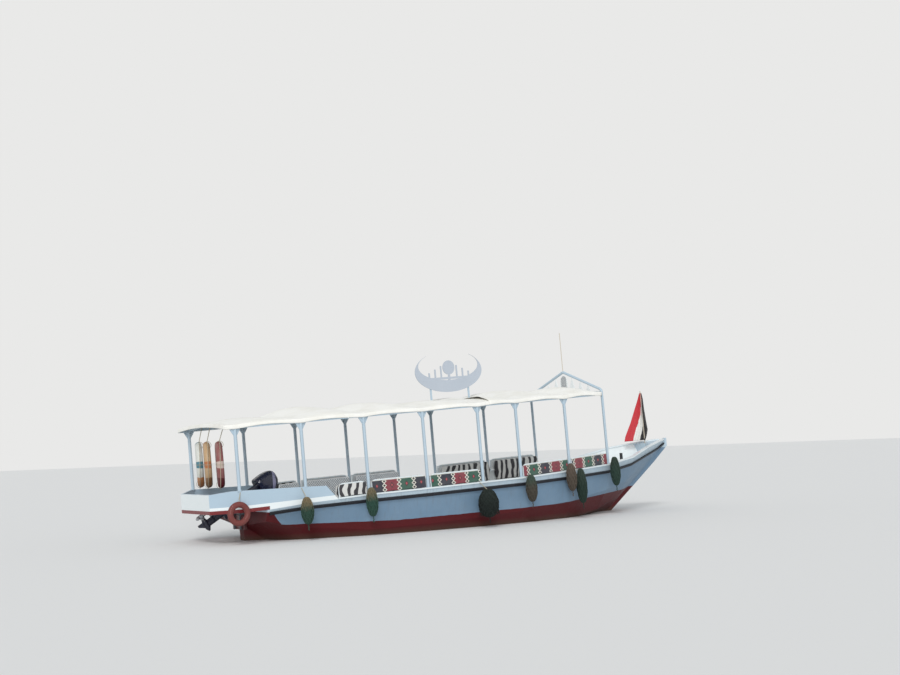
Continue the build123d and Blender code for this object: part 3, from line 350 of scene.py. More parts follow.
def sheet_mesh(name, grid, thickness=0.0):
    """A mesh from rows of points; thickness is given to the side away from its normals."""
    bm = bmesh.new()
    rows = [[bm.verts.new(p) for p in row] for row in grid]
    uv = bm.loops.layers.uv.new("cloth")
    last = len(rows[0]) - 1
    for i in range(len(rows) - 1):
        for j in range(last):
            face = bm.faces.new((rows[i][j], rows[i][j + 1], rows[i + 1][j + 1], rows[i + 1][j]))
            face.smooth = True
            for loop, (a, b) in zip(face.loops, ((i, j), (i, j + 1), (i + 1, j + 1), (i + 1, j))):
                loop[uv].uv = (a / (len(rows) - 1), b / last)
    mesh = bpy.data.meshes.new(name)
    bm.to_mesh(mesh)
    bm.free()
    obj = bpy.data.objects.new(name, mesh)
    bpy.context.collection.objects.link(obj)
    if thickness:
        wall = obj.modifiers.new("thickness", "SOLIDIFY")
        wall.thickness = thickness
        wall.offset = 1
        settle(obj)
    return obj


def settle(obj):
    """Applies every modifier of a finished piece."""
    bpy.ops.object.select_all(action="DESELECT")
    obj.select_set(True)
    bpy.context.view_layer.objects.active = obj
    for modifier in list(obj.modifiers):
        bpy.ops.object.modifier_apply(modifier=modifier.name)


def canopy_point(x, s, lapped):
    """Point of the cloth at x; s runs from -1 at the starboard hem to 1 at the port hem."""
    half = along(x, RAIL_PLAN) + RAIL_FACE
    lift, share = bay(x)
    side = 1 if s > 0 else -1
    raised = .006
    if lapped:
        shoulder = max(0, 1 - abs(abs(s) - .72) / .30)
        raised += .004 + LAP_LIFT * max(0, 1 - (x - LAP[0]) / LAP_REACH) ** 2 * shoulder
    if abs(s) > 1 - HEM_SHARE:
        drop = (abs(s) - 1 + HEM_SHARE) / HEM_SHARE
        flare = .010 * share * drop + .003 * sin(9 * x) * drop + (.004 if lapped else 0)
        fall = drop * (HEM - .016 * share - .004 * sin(7 * x))
        return afloat(x, side * (half + .004 + flare), RAIL_TOP + raised * (1 - drop) + .012 * share - fall)
    across = s / (1 - HEM_SHARE)
    dome = 1 - across ** 2
    fill = lift * share ** .8 * dome ** .6 * (1 + .25 * sin(3.1 * across + 1.7 * x))
    wrinkle = .0035 * sin(23 * x + 5 * across) * sin(11 * across + 3 * x) * share * dome
    gathers = .004 * sin(70 * x) * max(0, abs(across) - .8) * 5 * share
    height = RAIL_TOP + .012 * share * (1 - dome ** 4) + raised + CROWN * dome
    return afloat(x, across * half, height + fill + wrinkle + gathers)


def canvas(name, colour, worn):
    """Plain-woven cotton canvas; the weave is drawn coarse enough to show at this distance."""
    mat, shader, where = start(name, roughness=.85, Sheen_Weight=.08, Sheen_Roughness=.5)
    stain = put(mat, "ValToRGB", put(mat, "TexNoise", where, 1000 / 350), stops=[(.42, BLACK), (.8, WHITE)])
    stained = put(mat, "Mix", put(mat, "Math:MULTIPLY", stain, .5), paint(colour), paint(worn))
    join(mat, stained, shader.inputs["Base Color"])
    threads = [put(mat, "TexWave", where, bands_direction=way, Scale=1000 / THREAD_MM / 20)
               for way in ("X", "Y")]
    weave = put(mat, "Math:MULTIPLY", threads[0].outputs["Fac"], threads[1].outputs["Fac"])
    folds = put(mat, "Math:MULTIPLY", put(mat, "TexNoise", where, 1000 / 90), 2.0)
    relief = put(mat, "Math:ADD", weave, folds)
    join(mat, put(mat, "Bump", Height=relief, Distance=1.5 / 1000, Strength=.5), shader.inputs["Normal"])
    return mat


def make_canopy(name, x_low, x_high, lapped):
    """One canopy cloth from end to end."""
    count = round((x_high - x_low) / CLOTH_STEP)
    xs = [x_low + (x_high - x_low) * i / count for i in range(count + 1)]
    edge = [1, .985, .97, .955, .95]
    shares = [-s for s in edge] + [-.94 + 1.88 * j / 46 for j in range(47)] + edge[::-1]
    grid = [[canopy_point(x, s, lapped) for s in shares] for x in xs]
    if not lapped:
        fall = afloat(-.12, 0, -1)
        hem = [[p + fall * HEM * k / 4 * min(1, (1 - abs(s)) / HEM_SHARE) for p, s in zip(grid[0], shares)]
               for k in (4, 3, 2, 1)]
        grid = hem + grid
    return sheet_mesh(name, grid, CANVAS)


canvas_white = canvas("woven_cotton_canvas_white", "F1F0EA", "D9D5C6")
for name, x_low, x_high, lapped in (("canopy_cloth_aft", RAIL_PLAN[0][0], LAP[1], False),
                                    ("canopy_cloth_fore", LAP[0], RAIL_PLAN[-1][0] - .002, True)):
    cloth = make_canopy(name, x_low, x_high, lapped)
    cloth.data.materials.append(canvas_white)
    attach(cloth, "hull")
    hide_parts("canopy")


# Side cloths: ten printed cotton panels laced under the side rails and hanging down their outer
# face to the gunwale cap. The print is a common one of colour blocks and zigzag bands.
CRIMSON = "7E1A30"
BOTTLE_GREEN = "12503F"
NAVY = "10182E"
BLOCK_MM = 270
CLOTH = .0025
LACE_PITCH = .12
LACE_RADIUS = .0022
LACE_RING = (.0175, .0185)
LACE_CENTRE = .0145
PANEL_FOLD = .0075
FOLD_PITCH = .105
SLACK_PITCH = .37
RIPPLE_PITCH = .055


def drawn(point):
    """A row-frame point turned back to the base-line drawing."""
    x, y, z = point
    return Vector((x * cos(TRIM) + z * sin(TRIM), y, z * cos(TRIM) - x * sin(TRIM)))


def linked(verts, edges):
    """Places of the vertices in each group that the edges link."""
    left, groups = set(verts), []
    while left:
        stack, group = [left.pop()], []
        while stack:
            vert = stack.pop()
            group.append(vert.co.copy())
            for edge in vert.link_edges:
                other = edge.other_vert(vert)
                if edge in edges and other in left:
                    left.discard(other)
                    stack.append(other)
        groups.append(group)
    return groups


def solids_of(name):
    """Drawing-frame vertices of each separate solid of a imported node, sorted bow last."""
    bm = bmesh.new()
    bm.from_mesh(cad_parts[name].data)
    bmesh.ops.remove_doubles(bm, verts=bm.verts, dist=1e-5)
    groups = [[drawn(place) for place in group] for group in linked(bm.verts, set(bm.edges))]
    bm.free()
    return sorted(groups, key=lambda group: (round(min(p.x for p in group), 2), min(p.y for p in group)))


def rows_of(group):
    """Full sections of a lofted solid: x, lowest and highest y, lowest and highest z."""
    rows = []
    for x in sorted({round(p.x, 3) for p in group}):
        here = [p for p in group if abs(p.x - x) < 2e-3]
        ys, zs = [p.y for p in here], [p.z for p in here]
        if len(here) > 3 and (not rows or x - rows[-1][0] > .01):
            rows.append((x, min(ys), max(ys), min(zs), max(zs)))
    tallest = max(row[4] - row[3] for row in rows)
    return [row for row in rows if row[4] - row[3] > .85 * tallest]


def column(rows, index):
    """One column of a station table against x."""
    return [(row[0], row[index]) for row in rows]


def cotton_relief(mat, shader, where, fold_mm, depth_mm):
    """Threads, drawn 2.5 mm wide so that they show, over soft folds of a real size."""
    relief = put(mat, "Math:ADD", put(mat, "TexNoise", where, 1000 / 2.5),
                 put(mat, "TexNoise", where, 1000 / fold_mm))
    bump = put(mat, "Bump", Height=relief, Distance=depth_mm / 1000, Strength=.5)
    join(mat, bump, shader.inputs["Normal"])


def zigzag_cloth():
    """Printed cotton: crimson, green and navy blocks parted by white teeth; the back is paler, partly the
    cloth's own back and partly painted light for the shade it lies in.
    """
    mat, shader, where = start("printed_cotton_panel", roughness=.85, Sheen_Weight=.2)
    axis = put(mat, "SeparateXYZ", put(mat, "UVMap")).outputs
    run, rise = axis[0], axis[1]
    block = put(mat, "Math:MODULO", put(mat, "Math:FLOOR", run), 3.0)
    colour = put(mat, "Mix", put(mat, "Math:GREATER_THAN", block, .5), paint(CRIMSON), paint(BOTTLE_GREEN))
    colour = put(mat, "Mix", put(mat, "Math:GREATER_THAN", block, 1.5), colour, paint(NAVY))
    edge = put(mat, "Math:PINGPONG", run, .5)
    steps = put(mat, "Math:PINGPONG", put(mat, "Math:MULTIPLY", rise, 3.0), .5)
    teeth = put(mat, "Math:MULTIPLY", steps, .30)
    stepped = put(mat, "Math:LESS_THAN", edge, put(mat, "Math:ADD", teeth, .015))
    colour = put(mat, "Mix", stepped, colour, paint("E6E3D6"))
    core = put(mat, "Math:LESS_THAN", edge, put(mat, "Math:SUBTRACT", teeth, .055))
    colour = put(mat, "Mix", core, colour, paint("1A1B22"))
    inward = put(mat, "Math:SUBTRACT", .5, edge)
    updown = put(mat, "Math:ABSOLUTE", put(mat, "Math:SUBTRACT", rise, .5))
    heart = put(mat, "Math:ADD", inward, put(mat, "Math:MULTIPLY", updown, .55))
    colour = put(mat, "Mix", put(mat, "Math:LESS_THAN", heart, .13), colour, paint("2A0D16"))
    colour = put(mat, "Mix", put(mat, "Math:LESS_THAN", heart, .07), colour, paint("B23A48"))
    colour = put(mat, "Mix", put(mat, "Math:GREATER_THAN", rise, .93), colour, paint("DDDCD2"))
    faded = blotched(mat, where, 120, .30, colour, paint("8F8C86"))
    # Inboard faces: the cloth's paler back, lifted towards white as painted light against the shade they lie
    # in.
    facing = put(mat, "SeparateXYZ", put(mat, "TexCoord").outputs["Normal"]).outputs[1]
    height = put(mat, "SeparateXYZ", where).outputs[1]
    back = put(mat, "Math:LESS_THAN", put(mat, "Math:MULTIPLY", facing, height), 0.0)
    both = put(mat, "Mix", put(mat, "Math:MULTIPLY", back, .84), faded, paint("E6E9EA"))
    join(mat, both, shader.inputs["Base Color"])
    cotton_relief(mat, shader, where, 40, .8)
    return mat


def zebra_cloth():
    """Printed cotton in wavering black and white stripes, a common print."""
    mat, shader, where = start("printed_cotton_stripe", roughness=.85, Sheen_Weight=.25)
    waver = put(mat, "TexWave", where, bands_direction="X", Scale=2.6, Distortion=5.5, Detail=1.6,
                Detail_Scale=1.4)
    stripes = put(mat, "ValToRGB", waver.outputs["Fac"], stops=[(.44, BLACK), (.50, WHITE)])
    colour = put(mat, "Mix", stripes, paint("14151F"), paint("D6D6D2"))
    faded = blotched(mat, where, 160, .25, colour, paint("8C8A88"))
    join(mat, faded, shader.inputs["Base Color"])
    cotton_relief(mat, shader, where, 60, 1.2)
    return mat


def lattice_cloth():
    """Printed cotton, a small grey lattice on off-white, a common print; its upward faces are painted white
    as a painted highlight along the top.
    """
    mat, shader, where = start("printed_cotton_lattice", roughness=.85, Sheen_Weight=.2)
    axis = put(mat, "SeparateXYZ", where).outputs
    lines = []
    for sign in (1, -1):
        slant = put(mat, "Math:ADD", axis[0], put(mat, "Math:MULTIPLY", axis[2], sign))
        lines.append(put(mat, "Math:LESS_THAN", put(mat, "Math:PINGPONG", slant, .024), .0055))
    net = put(mat, "Math:MAXIMUM", lines[0], lines[1])
    colour = put(mat, "Mix", net, paint("F2F4F5"), paint("939CA4"))
    faded = blotched(mat, where, 90, .25, colour, paint("B6BABD"))
    # Faces that look upward are painted white: a painted highlight along the cushions' tops.
    upward = put(mat, "SeparateXYZ", put(mat, "TexCoord").outputs["Normal"]).outputs[2]
    lit_top = put(mat, "Mix", put(mat, "Math:GREATER_THAN", upward, .45), faded, paint("F4F5F5"))
    join(mat, lit_top, shader.inputs["Base Color"])
    cotton_relief(mat, shader, where, 60, 1.2)
    return mat


def set_uv(obj, rule):
    """UV of every face corner from its place in the row frame turned back to the drawing."""
    layer = obj.data.uv_layers.active or obj.data.uv_layers.new(name="cloth")
    for loop in obj.data.loops:
        layer.data[loop.index].uv = rule(drawn(obj.data.vertices[loop.vertex_index].co))


def joined(name, objects):
    """Several objects made one."""
    bpy.ops.object.select_all(action="DESELECT")
    for obj in objects:
        obj.select_set(True)
    bpy.context.view_layer.objects.active = objects[0]
    if len(objects) > 1:
        bpy.ops.object.join()
    objects[0].name = name
    return objects[0]


def tube(name, points, radius, sides=8, material=None, cyclic=False):
    """Round tube of a real radius along points, as a mesh."""
    curve = bpy.data.curves.new(name, "CURVE")
    curve.dimensions = "3D"
    curve.bevel_depth = radius
    curve.bevel_resolution = max(0, sides // 2 - 2)
    curve.use_fill_caps = True
    spline = curve.splines.new("POLY")
    spline.points.add(len(points) - 1)
    for target, point in zip(spline.points, points):
        target.co = (*point, 1)
    spline.use_cyclic_u = cyclic
    obj = bpy.data.objects.new(name, curve)
    bpy.context.collection.objects.link(obj)
    bpy.ops.object.select_all(action="DESELECT")
    obj.select_set(True)
    bpy.context.view_layer.objects.active = obj
    bpy.ops.object.convert(target="MESH")
    obj = bpy.context.view_layer.objects.active
    bpy.ops.object.shade_smooth()
    if material:
        obj.data.materials.append(material)
    return obj


def side_cloth(index, rows):
    """One panel: hem folded in at the rail, slack folds growing towards the lower edge."""
    side = 1 if rows[0][1] > 0 else -1
    face = column(rows, 1 if side > 0 else 2)
    low, top = column(rows, 3), column(rows, 4)
    x_low, x_high = rows[0][0] + .006, rows[-1][0] - .006
    count = max(12, round((x_high - x_low) / .02))
    grid = []
    for i in range(count + 1):
        x = x_low + (x_high - x_low) * i / count
        line = []
        for j in range(13):
            drop = j / 12
            slack = sin(2 * pi * x / SLACK_PITCH + index)
            fold = PANEL_FOLD * drop * sin(2 * pi * x / FOLD_PITCH + 2.2 * index) * slack
            sway = .002 * sin(2 * pi * x / RIPPLE_PITCH + index)
            lace = .006 * abs(sin(pi * (x - x_low) / LACE_PITCH)) * max(0, 1 - 3 * drop)
            fall = drop * (along(x, top) - along(x, low) - .010)
            z = along(x, top) - .004 - lace - fall + .004 * drop * sin(19 * x)
            out = .0005 + .006 * drop + abs(fold) + sway * drop
            line.append(afloat(x, along(x, face) + side * out, z))
        grid.append(line if side < 0 else line[::-1])
    cloth = sheet_mesh(f"side_cloth_{index}", grid, CLOTH)
    shift = 1.1 * index
    set_uv(cloth, lambda p: ((p.x - x_low) * 1000 / BLOCK_MM + shift,
                             (p.z - along(p.x, low)) / (along(p.x, top) - along(p.x, low))))
    return cloth, x_low, x_high, side, face, top


panel_print = zigzag_cloth()
zebra = zebra_cloth()
lacing = brushed_enamel("twisted_cotton_cord_white", "E4E1D6", "B8B3A4", gloss=.8)
laces = []
for index, group in enumerate(solids_of("side_cloths")):
    rows = rows_of(group)
    cloth, x_low, x_high, side, face, top = side_cloth(index, rows)
    cloth.data.materials.append(zebra if index < 2 else panel_print)
    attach(cloth, "hull")
    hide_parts("side_cloths")
    for k in range(1, int((x_high - x_low) / LACE_PITCH)):
        x = x_low + k * LACE_PITCH
        centre = afloat(x, along(x, face) - side * LACE_CENTRE, along(x, top))
        ring = [centre + Vector((.002 * sin(a), side * LACE_RING[0] * cos(a), LACE_RING[1] * sin(a)))
                for a in [2 * pi * n / 14 for n in range(14)]]
        laces.append(tube("lace", ring, LACE_RADIUS, 6, lacing, cyclic=True))
cloth_lacings = joined("cloth_lacings", laces)
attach(cloth_lacings, "hull")


# Cushions: foam pads in printed cotton covers, pulled in at a seam every half metre; seat pads lie
# on the benches and back pads stand against the sides, with a paler print aft of the gate to port.
SEAM_PITCH = .56
GATE = .30
EDGE_ROUND = .038
PAD_GAP = .003
SEAM_REACH = .045
SEAM_DIP = .016
SQUARENESS = 2 / 6


def pad(name, rows, material, crown):
    """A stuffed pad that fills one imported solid: soft edges, seams pulled in and a crowned face."""
    x_low, x_high = rows[0][0], rows[-1][0]
    length = x_high - x_low
    segments = max(1, round(length / SEAM_PITCH))
    count = segments * 14
    grid = []
    for i in range(count + 1):
        t = i / count
        end = min(t, 1 - t) * length
        shut = sqrt(1 - max(0, 1 - end / EDGE_ROUND) ** 2)
        place = (t * segments) % 1
        near = min(place, 1 - place) * length / segments
        pull = 0 if min(t, 1 - t) * segments < .5 and near == end else max(0, 1 - near / SEAM_REACH) ** 2
        x = x_low + t * length
        y0, y1, z0, z1 = (along(x, column(rows, c)) for c in (1, 2, 3, 4))
        cy, cz = (y0 + y1) / 2, (z0 + z1) / 2
        hy, hz = (y1 - y0) / 2 - PAD_GAP, (z1 - z0) / 2 - PAD_GAP
        ring = []
        for j in range(36):
            a = 2 * pi * j / 36
            c, s = cos(a), sin(a)
            py = abs(c) ** SQUARENESS * (1 if c > 0 else -1)
            pz = abs(s) ** SQUARENESS * (1 if s > 0 else -1)
            dip = SEAM_DIP * pull + .004 * (1 + sin(31 * x + 3 * a)) * .5
            flat_y, flat_z = hy * py, hz * pz
            flat_y -= (dip * py + crown * (1 - shut) * py) if hy < hz else dip * .3 * py
            flat_z -= (dip * pz + crown * (py * py) * .5 * pz) if hy >= hz else dip * .3 * pz
            ring.append(afloat(x, cy + flat_y * (.55 + .45 * shut), cz + flat_z * (.35 + .65 * shut)))
        grid.append(ring + ring[:1])
    obj = sheet_mesh(name, grid)
    bm = bmesh.new()
    bm.from_mesh(obj.data)
    bmesh.ops.remove_doubles(bm, verts=bm.verts, dist=1e-5)
    bmesh.ops.holes_fill(bm, edges=[edge for edge in bm.edges if edge.is_boundary], sides=40)
    bmesh.ops.recalc_face_normals(bm, faces=bm.faces)
    bm.to_mesh(obj.data)
    bm.free()
    obj.data.materials.append(material)
    return obj


lattice = lattice_cloth()
for packed, crown in (("seat_cushions", .020), ("back_cushions", .012)):
    for index, group in enumerate(solids_of(packed)):
        rows = rows_of(group)
        aft_of_gate = packed == "back_cushions" and rows[0][0] < GATE and rows[0][1] > 0
        cushion = pad(f"{packed}_{index}", rows, lattice if aft_of_gate else zebra, crown)
        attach(cushion, "hull")
        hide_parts(packed)


# Bollard: a cast iron post on a plate, bolted through the foredeck and painted black. The paint
# is satin and drifts to a worn grey.
dress(brushed_enamel("painted_cast_iron", "17181B", "303136", size_mm=60, gloss=.45), "bollard")


# Flag: a light polyester tricolour with plain bands, tied to the staff at its head and hanging
# limp. Its whole width is taken up in folds, deep at the staff and nearly flat in the red band at
# the outer edge, and they fan out towards the foot.
FLAG_WIDTH = .62
FLAG_DROP = .97
FLAG_THREAD = .0012
FLAG_HEAD = 2.040
FLAG_FOLDS = 4.5
STAFF = 4.630
FLAG_HEADING = radians(142)
FLAG_EDGES = [(0, .014, -.020), (.12, .034, -.060), (.35, .040, -.150), (.62, .062, -.255),
              (.78, .078, -.330), (.90, .050, -.385), (1, .012, -.410)]


def tricolour():
    """Woven polyester in red, white and black bands along the fly."""
    mat, shader, where = start("woven_polyester_flag", roughness=.6, Sheen_Weight=.2)
    band = put(mat, "SeparateXYZ", put(mat, "UVMap")).outputs[1]
    colour = put(mat, "Mix", put(mat, "Math:GREATER_THAN", band, 1 / 3), paint("1B1C20"), paint("E6E4DE"))
    colour = put(mat, "Mix", put(mat, "Math:GREATER_THAN", band, 2 / 3), colour, paint("C41E2C"))
    join(mat, blotched(mat, where, 70, .1, colour, paint("8A7C78")), shader.inputs["Base Color"])
    threads = put(mat, "TexNoise", where, 1000 / 3)
    join(mat, put(mat, "Bump", Height=threads, Distance=.3 / 1000, Strength=.4), shader.inputs["Normal"])
    return mat


def folded_row(t, columns):
    """Points across the cloth at t down its drop, evenly spaced along folds that use its whole width."""
    fore, aft = along(t, [row[:2] for row in FLAG_EDGES]), along(t, [row[::2] for row in FLAG_EDGES])
    turn = .9 * sin(2.3 * t) + .25 * sin(7 * t)
    shape = []
    for k in range(241):
        u = k / 240
        deep = max(.15, 2.6 - 5 * u) * (1 + .2 * sin(4 * u + 3 * t))
        lean = .16 / FLAG_FOLDS * sin(4 * pi * FLAG_FOLDS * u + 1.1)
        run = fore + (aft - fore) * (u + lean * min(1, 4 * u, 4 - 4 * u))
        shape.append((run, deep * sin(2 * pi * FLAG_FOLDS * u + turn)))
    low, high = 0.0, .2
    for _ in range(22):
        depth = (low + high) / 2
        steps = [hypot(b[0] - a[0], depth * (b[1] - a[1])) for a, b in zip(shape, shape[1:])]
        low, high = (depth, high) if sum(steps) < FLAG_WIDTH else (low, depth)
    points, travelled, k = [], 0.0, 0
    for j in range(columns + 1):
        wanted = min(sum(steps), FLAG_WIDTH) * j / columns
        while k < len(steps) - 1 and travelled + steps[k] < wanted:
            travelled += steps[k]
            k += 1
        share = min(1, (wanted - travelled) / steps[k])
        a, b = shape[k], shape[k + 1]
        points.append((a[0] + (b[0] - a[0]) * share, depth * (a[1] + (b[1] - a[1]) * share)))
    return points


def make_flag():
    """The gathered flag, from the head of the staff to its foot."""
    rows, grid = 48, []
    for i in range(rows + 1):
        t = i / rows
        grid.append([afloat(STAFF - a * cos(FLAG_HEADING) - b * sin(FLAG_HEADING),
                            -a * sin(FLAG_HEADING) + b * cos(FLAG_HEADING), FLAG_HEAD - FLAG_DROP * t * .99)
                     for a, b in folded_row(t, 90)])
    flag = sheet_mesh("flag_cloth", grid, FLAG_THREAD)
    flag.data.materials.append(tricolour())
    return flag


flag = make_flag()
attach(flag, "hull")
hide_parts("flag")


# Lifebuoys: moulded rings with sewn bands, faded by the sun, each with a grab line held at four
# becket bands; the lanyards are laid cotton line.
LIFEBUOY_TURN = radians(22)
GRAB_RADIUS = .374
GRAB_SLACK = .018
GRAB_LINE = .0045
RING_CENTRE = .310
BECKET_RADIUS = .0575
BECKET_LINE = .004
BAND_HALF = .16
FADE_BELOW = -.17
LIFEBUOYS = {"lifebuoy_port": ("D3D6D0", "4A7784", "B07A52"),
             "lifebuoy_middle": ("B89468", "A8663A", "84603F"),
             "lifebuoy_starboard": ("7A262C", "B9A69C", "5A191E")}


def ring_plastic(name, colour, band, foot, centre):
    """Moulded ring with four painted bands and a weathered lower part."""
    mat, shader, where = start(name, roughness=.45)
    local = put(mat, "VectorMath:SUBTRACT", where, tuple(centre))
    axis = put(mat, "SeparateXYZ", local).outputs
    angle = put(mat, "Math:ARCTAN2", axis[2], axis[1])
    quarter = put(mat, "Math:PINGPONG", put(mat, "Math:ADD", angle, pi / 4 + 2 * pi), pi / 4)
    striped = put(mat, "Math:GREATER_THAN", quarter, pi / 4 - BAND_HALF)
    tone = blotched(mat, where, 90, .4, paint(colour), paint("A39C90"))
    face = put(mat, "Mix", striped, tone, paint(band))
    ragged = put(mat, "Math:MULTIPLY", put(mat, "TexNoise", where, 1000 / 60), .06)
    lower = put(mat, "Math:LESS_THAN", put(mat, "Math:ADD", axis[2], ragged), FADE_BELOW)
    join(mat, put(mat, "Mix", lower, face, paint(foot)), shader.inputs["Base Color"])
    dents = put(mat, "TexNoise", where, 1000 / 25)
    join(mat, put(mat, "Bump", Height=dents, Distance=.8 / 1000, Strength=.4), shader.inputs["Normal"])
    return mat


laid_rope = brushed_enamel("laid_cotton_rope", "B5AC95", "7A7261", size_mm=25, gloss=.85)
for packed, colours in LIFEBUOYS.items():
    low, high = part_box(packed)
    middle = (low + high) / 2
    dress(ring_plastic(f"moulded_plastic_{packed}", *colours, middle), packed)
    across = Vector((sin(LIFEBUOY_TURN), cos(LIFEBUOY_TURN), 0))
    facing = Vector((cos(LIFEBUOY_TURN), -sin(LIFEBUOY_TURN), 0))
    grab = []
    for n in range(96):
        a = 2 * pi * n / 96
        slack = GRAB_RADIUS + GRAB_SLACK * abs(sin(2 * a)) * (1 - .4 * sin(a))
        grab.append(middle + across * slack * cos(a) + Vector((0, 0, slack * sin(a))))
    line = tube(f"{packed}_grab_line", grab, GRAB_LINE, 8, laid_rope, cyclic=True)
    bands = []
    for n in range(4):
        a = pi / 2 * n
        out = across * cos(a) + Vector((0, 0, sin(a)))
        hub = middle + out * RING_CENTRE
        ring = [hub + out * BECKET_RADIUS * cos(b) + facing * BECKET_RADIUS * sin(b)
                for b in [2 * pi * k / 20 for k in range(20)]]
        bands.append(tube("becket", ring, BECKET_LINE, 6, cyclic=True))
    buckle = joined(f"{packed}_beckets", bands)
    buckle.data.materials.append(laid_rope)
    for piece in (line, buckle):
        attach(piece, "hull")
dress(laid_rope, "lifebuoy_lanyards", "fender_lanyards")


# Fenders: old rubber bladders in nets of tarred coir rope knotted over them, eyed at the top
# for the lanyard and tailed off below. The quarter carries a scuffed rubber ring.
STRANDS = 9
STRAND = .0085
NET_TWIST = 2.4
COIR_ENDS = 150
END_LINE = .0055
TAIL_LINE = .008
CORE_ROWS = 18
CORE_SIDES = 20
FENDER_TONES = [("2F4F42", "8A7A5C"), ("2E5346", "7E7358"), ("141F1C", "1D2824"), ("524C42", "45564A"),
                ("5E5348", "6E5F54"), ("22382F", "38473E"), ("2C453B", "33443A")]
BUSHY = 2


def coir(index, foot, head, low, high):
    """Coir rope: coarse and hairy, weed green below and bleached towards the eye."""
    mat, shader, where = start(f"laid_coir_rope_{index}", roughness=.95)
    fibre = put(mat, "TexNoise", where, 1000 / 6, Detail=8)
    height = put(mat, "SeparateXYZ", where).outputs[2]
    up = put(mat, "MapRange", height, low, high)
    wander = put(mat, "Math:SUBTRACT", put(mat, "TexNoise", where, 1000 / 70), .5)
    up = put(mat, "Math:ADD", up, put(mat, "Math:MULTIPLY", wander, .5))
    bleached = put(mat, "ValToRGB", up, stops=[(.5, BLACK), (.85, WHITE)])
    graded = put(mat, "Mix", bleached, paint(foot), paint(head))
    hairy = put(mat, "Mix", put(mat, "Math:MULTIPLY", fibre, .6), graded, paint("141A16"))
    join(mat, hairy, shader.inputs["Base Color"])
    join(mat, put(mat, "Bump", Height=fibre, Distance=4.0 / 1000, Strength=.9), shader.inputs["Normal"])
    return mat


def fender(name, group, tone, bushy):
    """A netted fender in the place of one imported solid; a bushy one is an unlaid bunch of ends."""
    xs, ys, zs = ([p[i] for p in group] for i in range(3))
    x, y = (min(xs) + max(xs)) / 2, (min(ys) + max(ys)) / 2
    radius, low, high = (max(xs) - min(xs)) / 2, min(zs), max(zs)
    half = (high - low) / 2
    mid = (high + low) / 2

    def girth(t):
        """Radius at t from the foot (0) to the eye (1): pear shaped, fuller low down."""
        bulge = sin(pi * min(1, max(0, t))) ** .55
        return radius * (.20 + .72 * bulge * (1 - .22 * max(0, t - .45)))

    grid = []
    for i in range(CORE_ROWS + 1):
        r, z = girth(i / CORE_ROWS) - STRAND, mid - half + 2 * half * i / CORE_ROWS
        corners = [2 * pi * k / CORE_SIDES for k in range(CORE_SIDES + 1)]
        grid.append([afloat(x + r * cos(a), y + r * sin(a), z) for a in corners])
    core = sheet_mesh("core", grid)
    core.data.materials.append(tone)
    parts = [core]
    for way in (-1, 1):
        for strand in range(STRANDS):
            points = []
            for i in range(25):
                t = i / 24
                a = 2 * pi * strand / STRANDS + way * NET_TWIST * t
                lift = .35 * STRAND * way * cos(2 * NET_TWIST * STRANDS * t)
                r = girth(t) + lift
                points.append(afloat(x + r * cos(a), y + r * sin(a), mid - half + 2 * half * t))
            parts.append(tube("strand", points, STRAND, 6, tone))
    for z in (mid + half - STRAND, mid - half + STRAND):
        neck = .30 * radius
        ring = [afloat(x + neck * cos(a), y + neck * sin(a), z)
                for a in [2 * pi * k / 16 for k in range(16)]]
        parts.append(tube("whipping", ring, 1.2 * STRAND, 6, tone, cyclic=True))
    for end in range(COIR_ENDS if bushy else 0):
        a, t = 2.4 * end, .12 + .74 * (end / COIR_ENDS)
        r = girth(t)
        root = Vector((x + .9 * r * cos(a), y + .9 * r * sin(a), mid - half + 2 * half * t))
        out = Vector((cos(a), sin(a), 0)) * min(radius - r, .035)
        ends = [root + out * k / 3 - Vector((0, 0, .022 * k * (1 + .5 * sin(end)))) for k in range(4)]
        parts.append(tube("end", [afloat(*p) for p in ends if p.z > low + .01], END_LINE, 4, tone))
    tail = [afloat(x + .006 * sin(9 * k), y, mid - half + .01 - .022 * k) for k in range(6)]
    parts.append(tube("tail", tail, TAIL_LINE, 6, tone))
    return joined(name, parts)


tones = {}
for packed in ("fenders_starboard", "fenders_port"):
    for index, group in enumerate(solids_of(packed)):
        heights = [afloat(*p).z for p in group]
        if index not in tones:
            tones[index] = coir(index, *FENDER_TONES[index], min(heights), max(heights))
        netted = fender(f"{packed}_{index}", group, tones[index], index == BUSHY)
        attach(netted, "hull")
        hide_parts(packed)
dress(brushed_enamel("scuffed_rubber_red", "6A2724", "7E4F47", size_mm=60, gloss=.75, chips=.4),
      "quarter_fender")


# Outboard motor: sand-cast brackets, a cast leg under navy enamel, a moulded cowl with one plain
# pale stripe on each side, a ribbed rubber grip and a bare cast propeller. The cowl is modelled
# upright over its packed block, then turned with the motor about the tilt tube.
COWL_STRIPE_AHEAD = .085
COWL_STRIPE_HALF = .030


def cowl_plastic():
    """Glossy moulded cowl with one plain upright stripe on each side."""
    mat, shader, where = start("moulded_gloss_cowl", roughness=.22, Coat_Weight=.4)
    axis = put(mat, "SeparateXYZ", where).outputs
    low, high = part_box("motor_cowl")
    centre = (low + high) / 2
    local = put(mat, "Math:SUBTRACT", axis[0], centre[0] + COWL_STRIPE_AHEAD)
    stripe = put(mat, "Math:LESS_THAN", put(mat, "Math:ABSOLUTE", local), COWL_STRIPE_HALF)
    tone = blotched(mat, where, 80, .3, paint("141A33"), paint("2A3048"))
    striped = put(mat, "Mix", put(mat, "Math:MULTIPLY", stripe, .75), tone, paint("9A98B8"))
    join(mat, striped, shader.inputs["Base Color"])
    ripples = put(mat, "TexNoise", where, 1000 / 30)
    join(mat, put(mat, "Bump", Height=ripples, Distance=.2 / 1000, Strength=.3), shader.inputs["Normal"])
    return mat


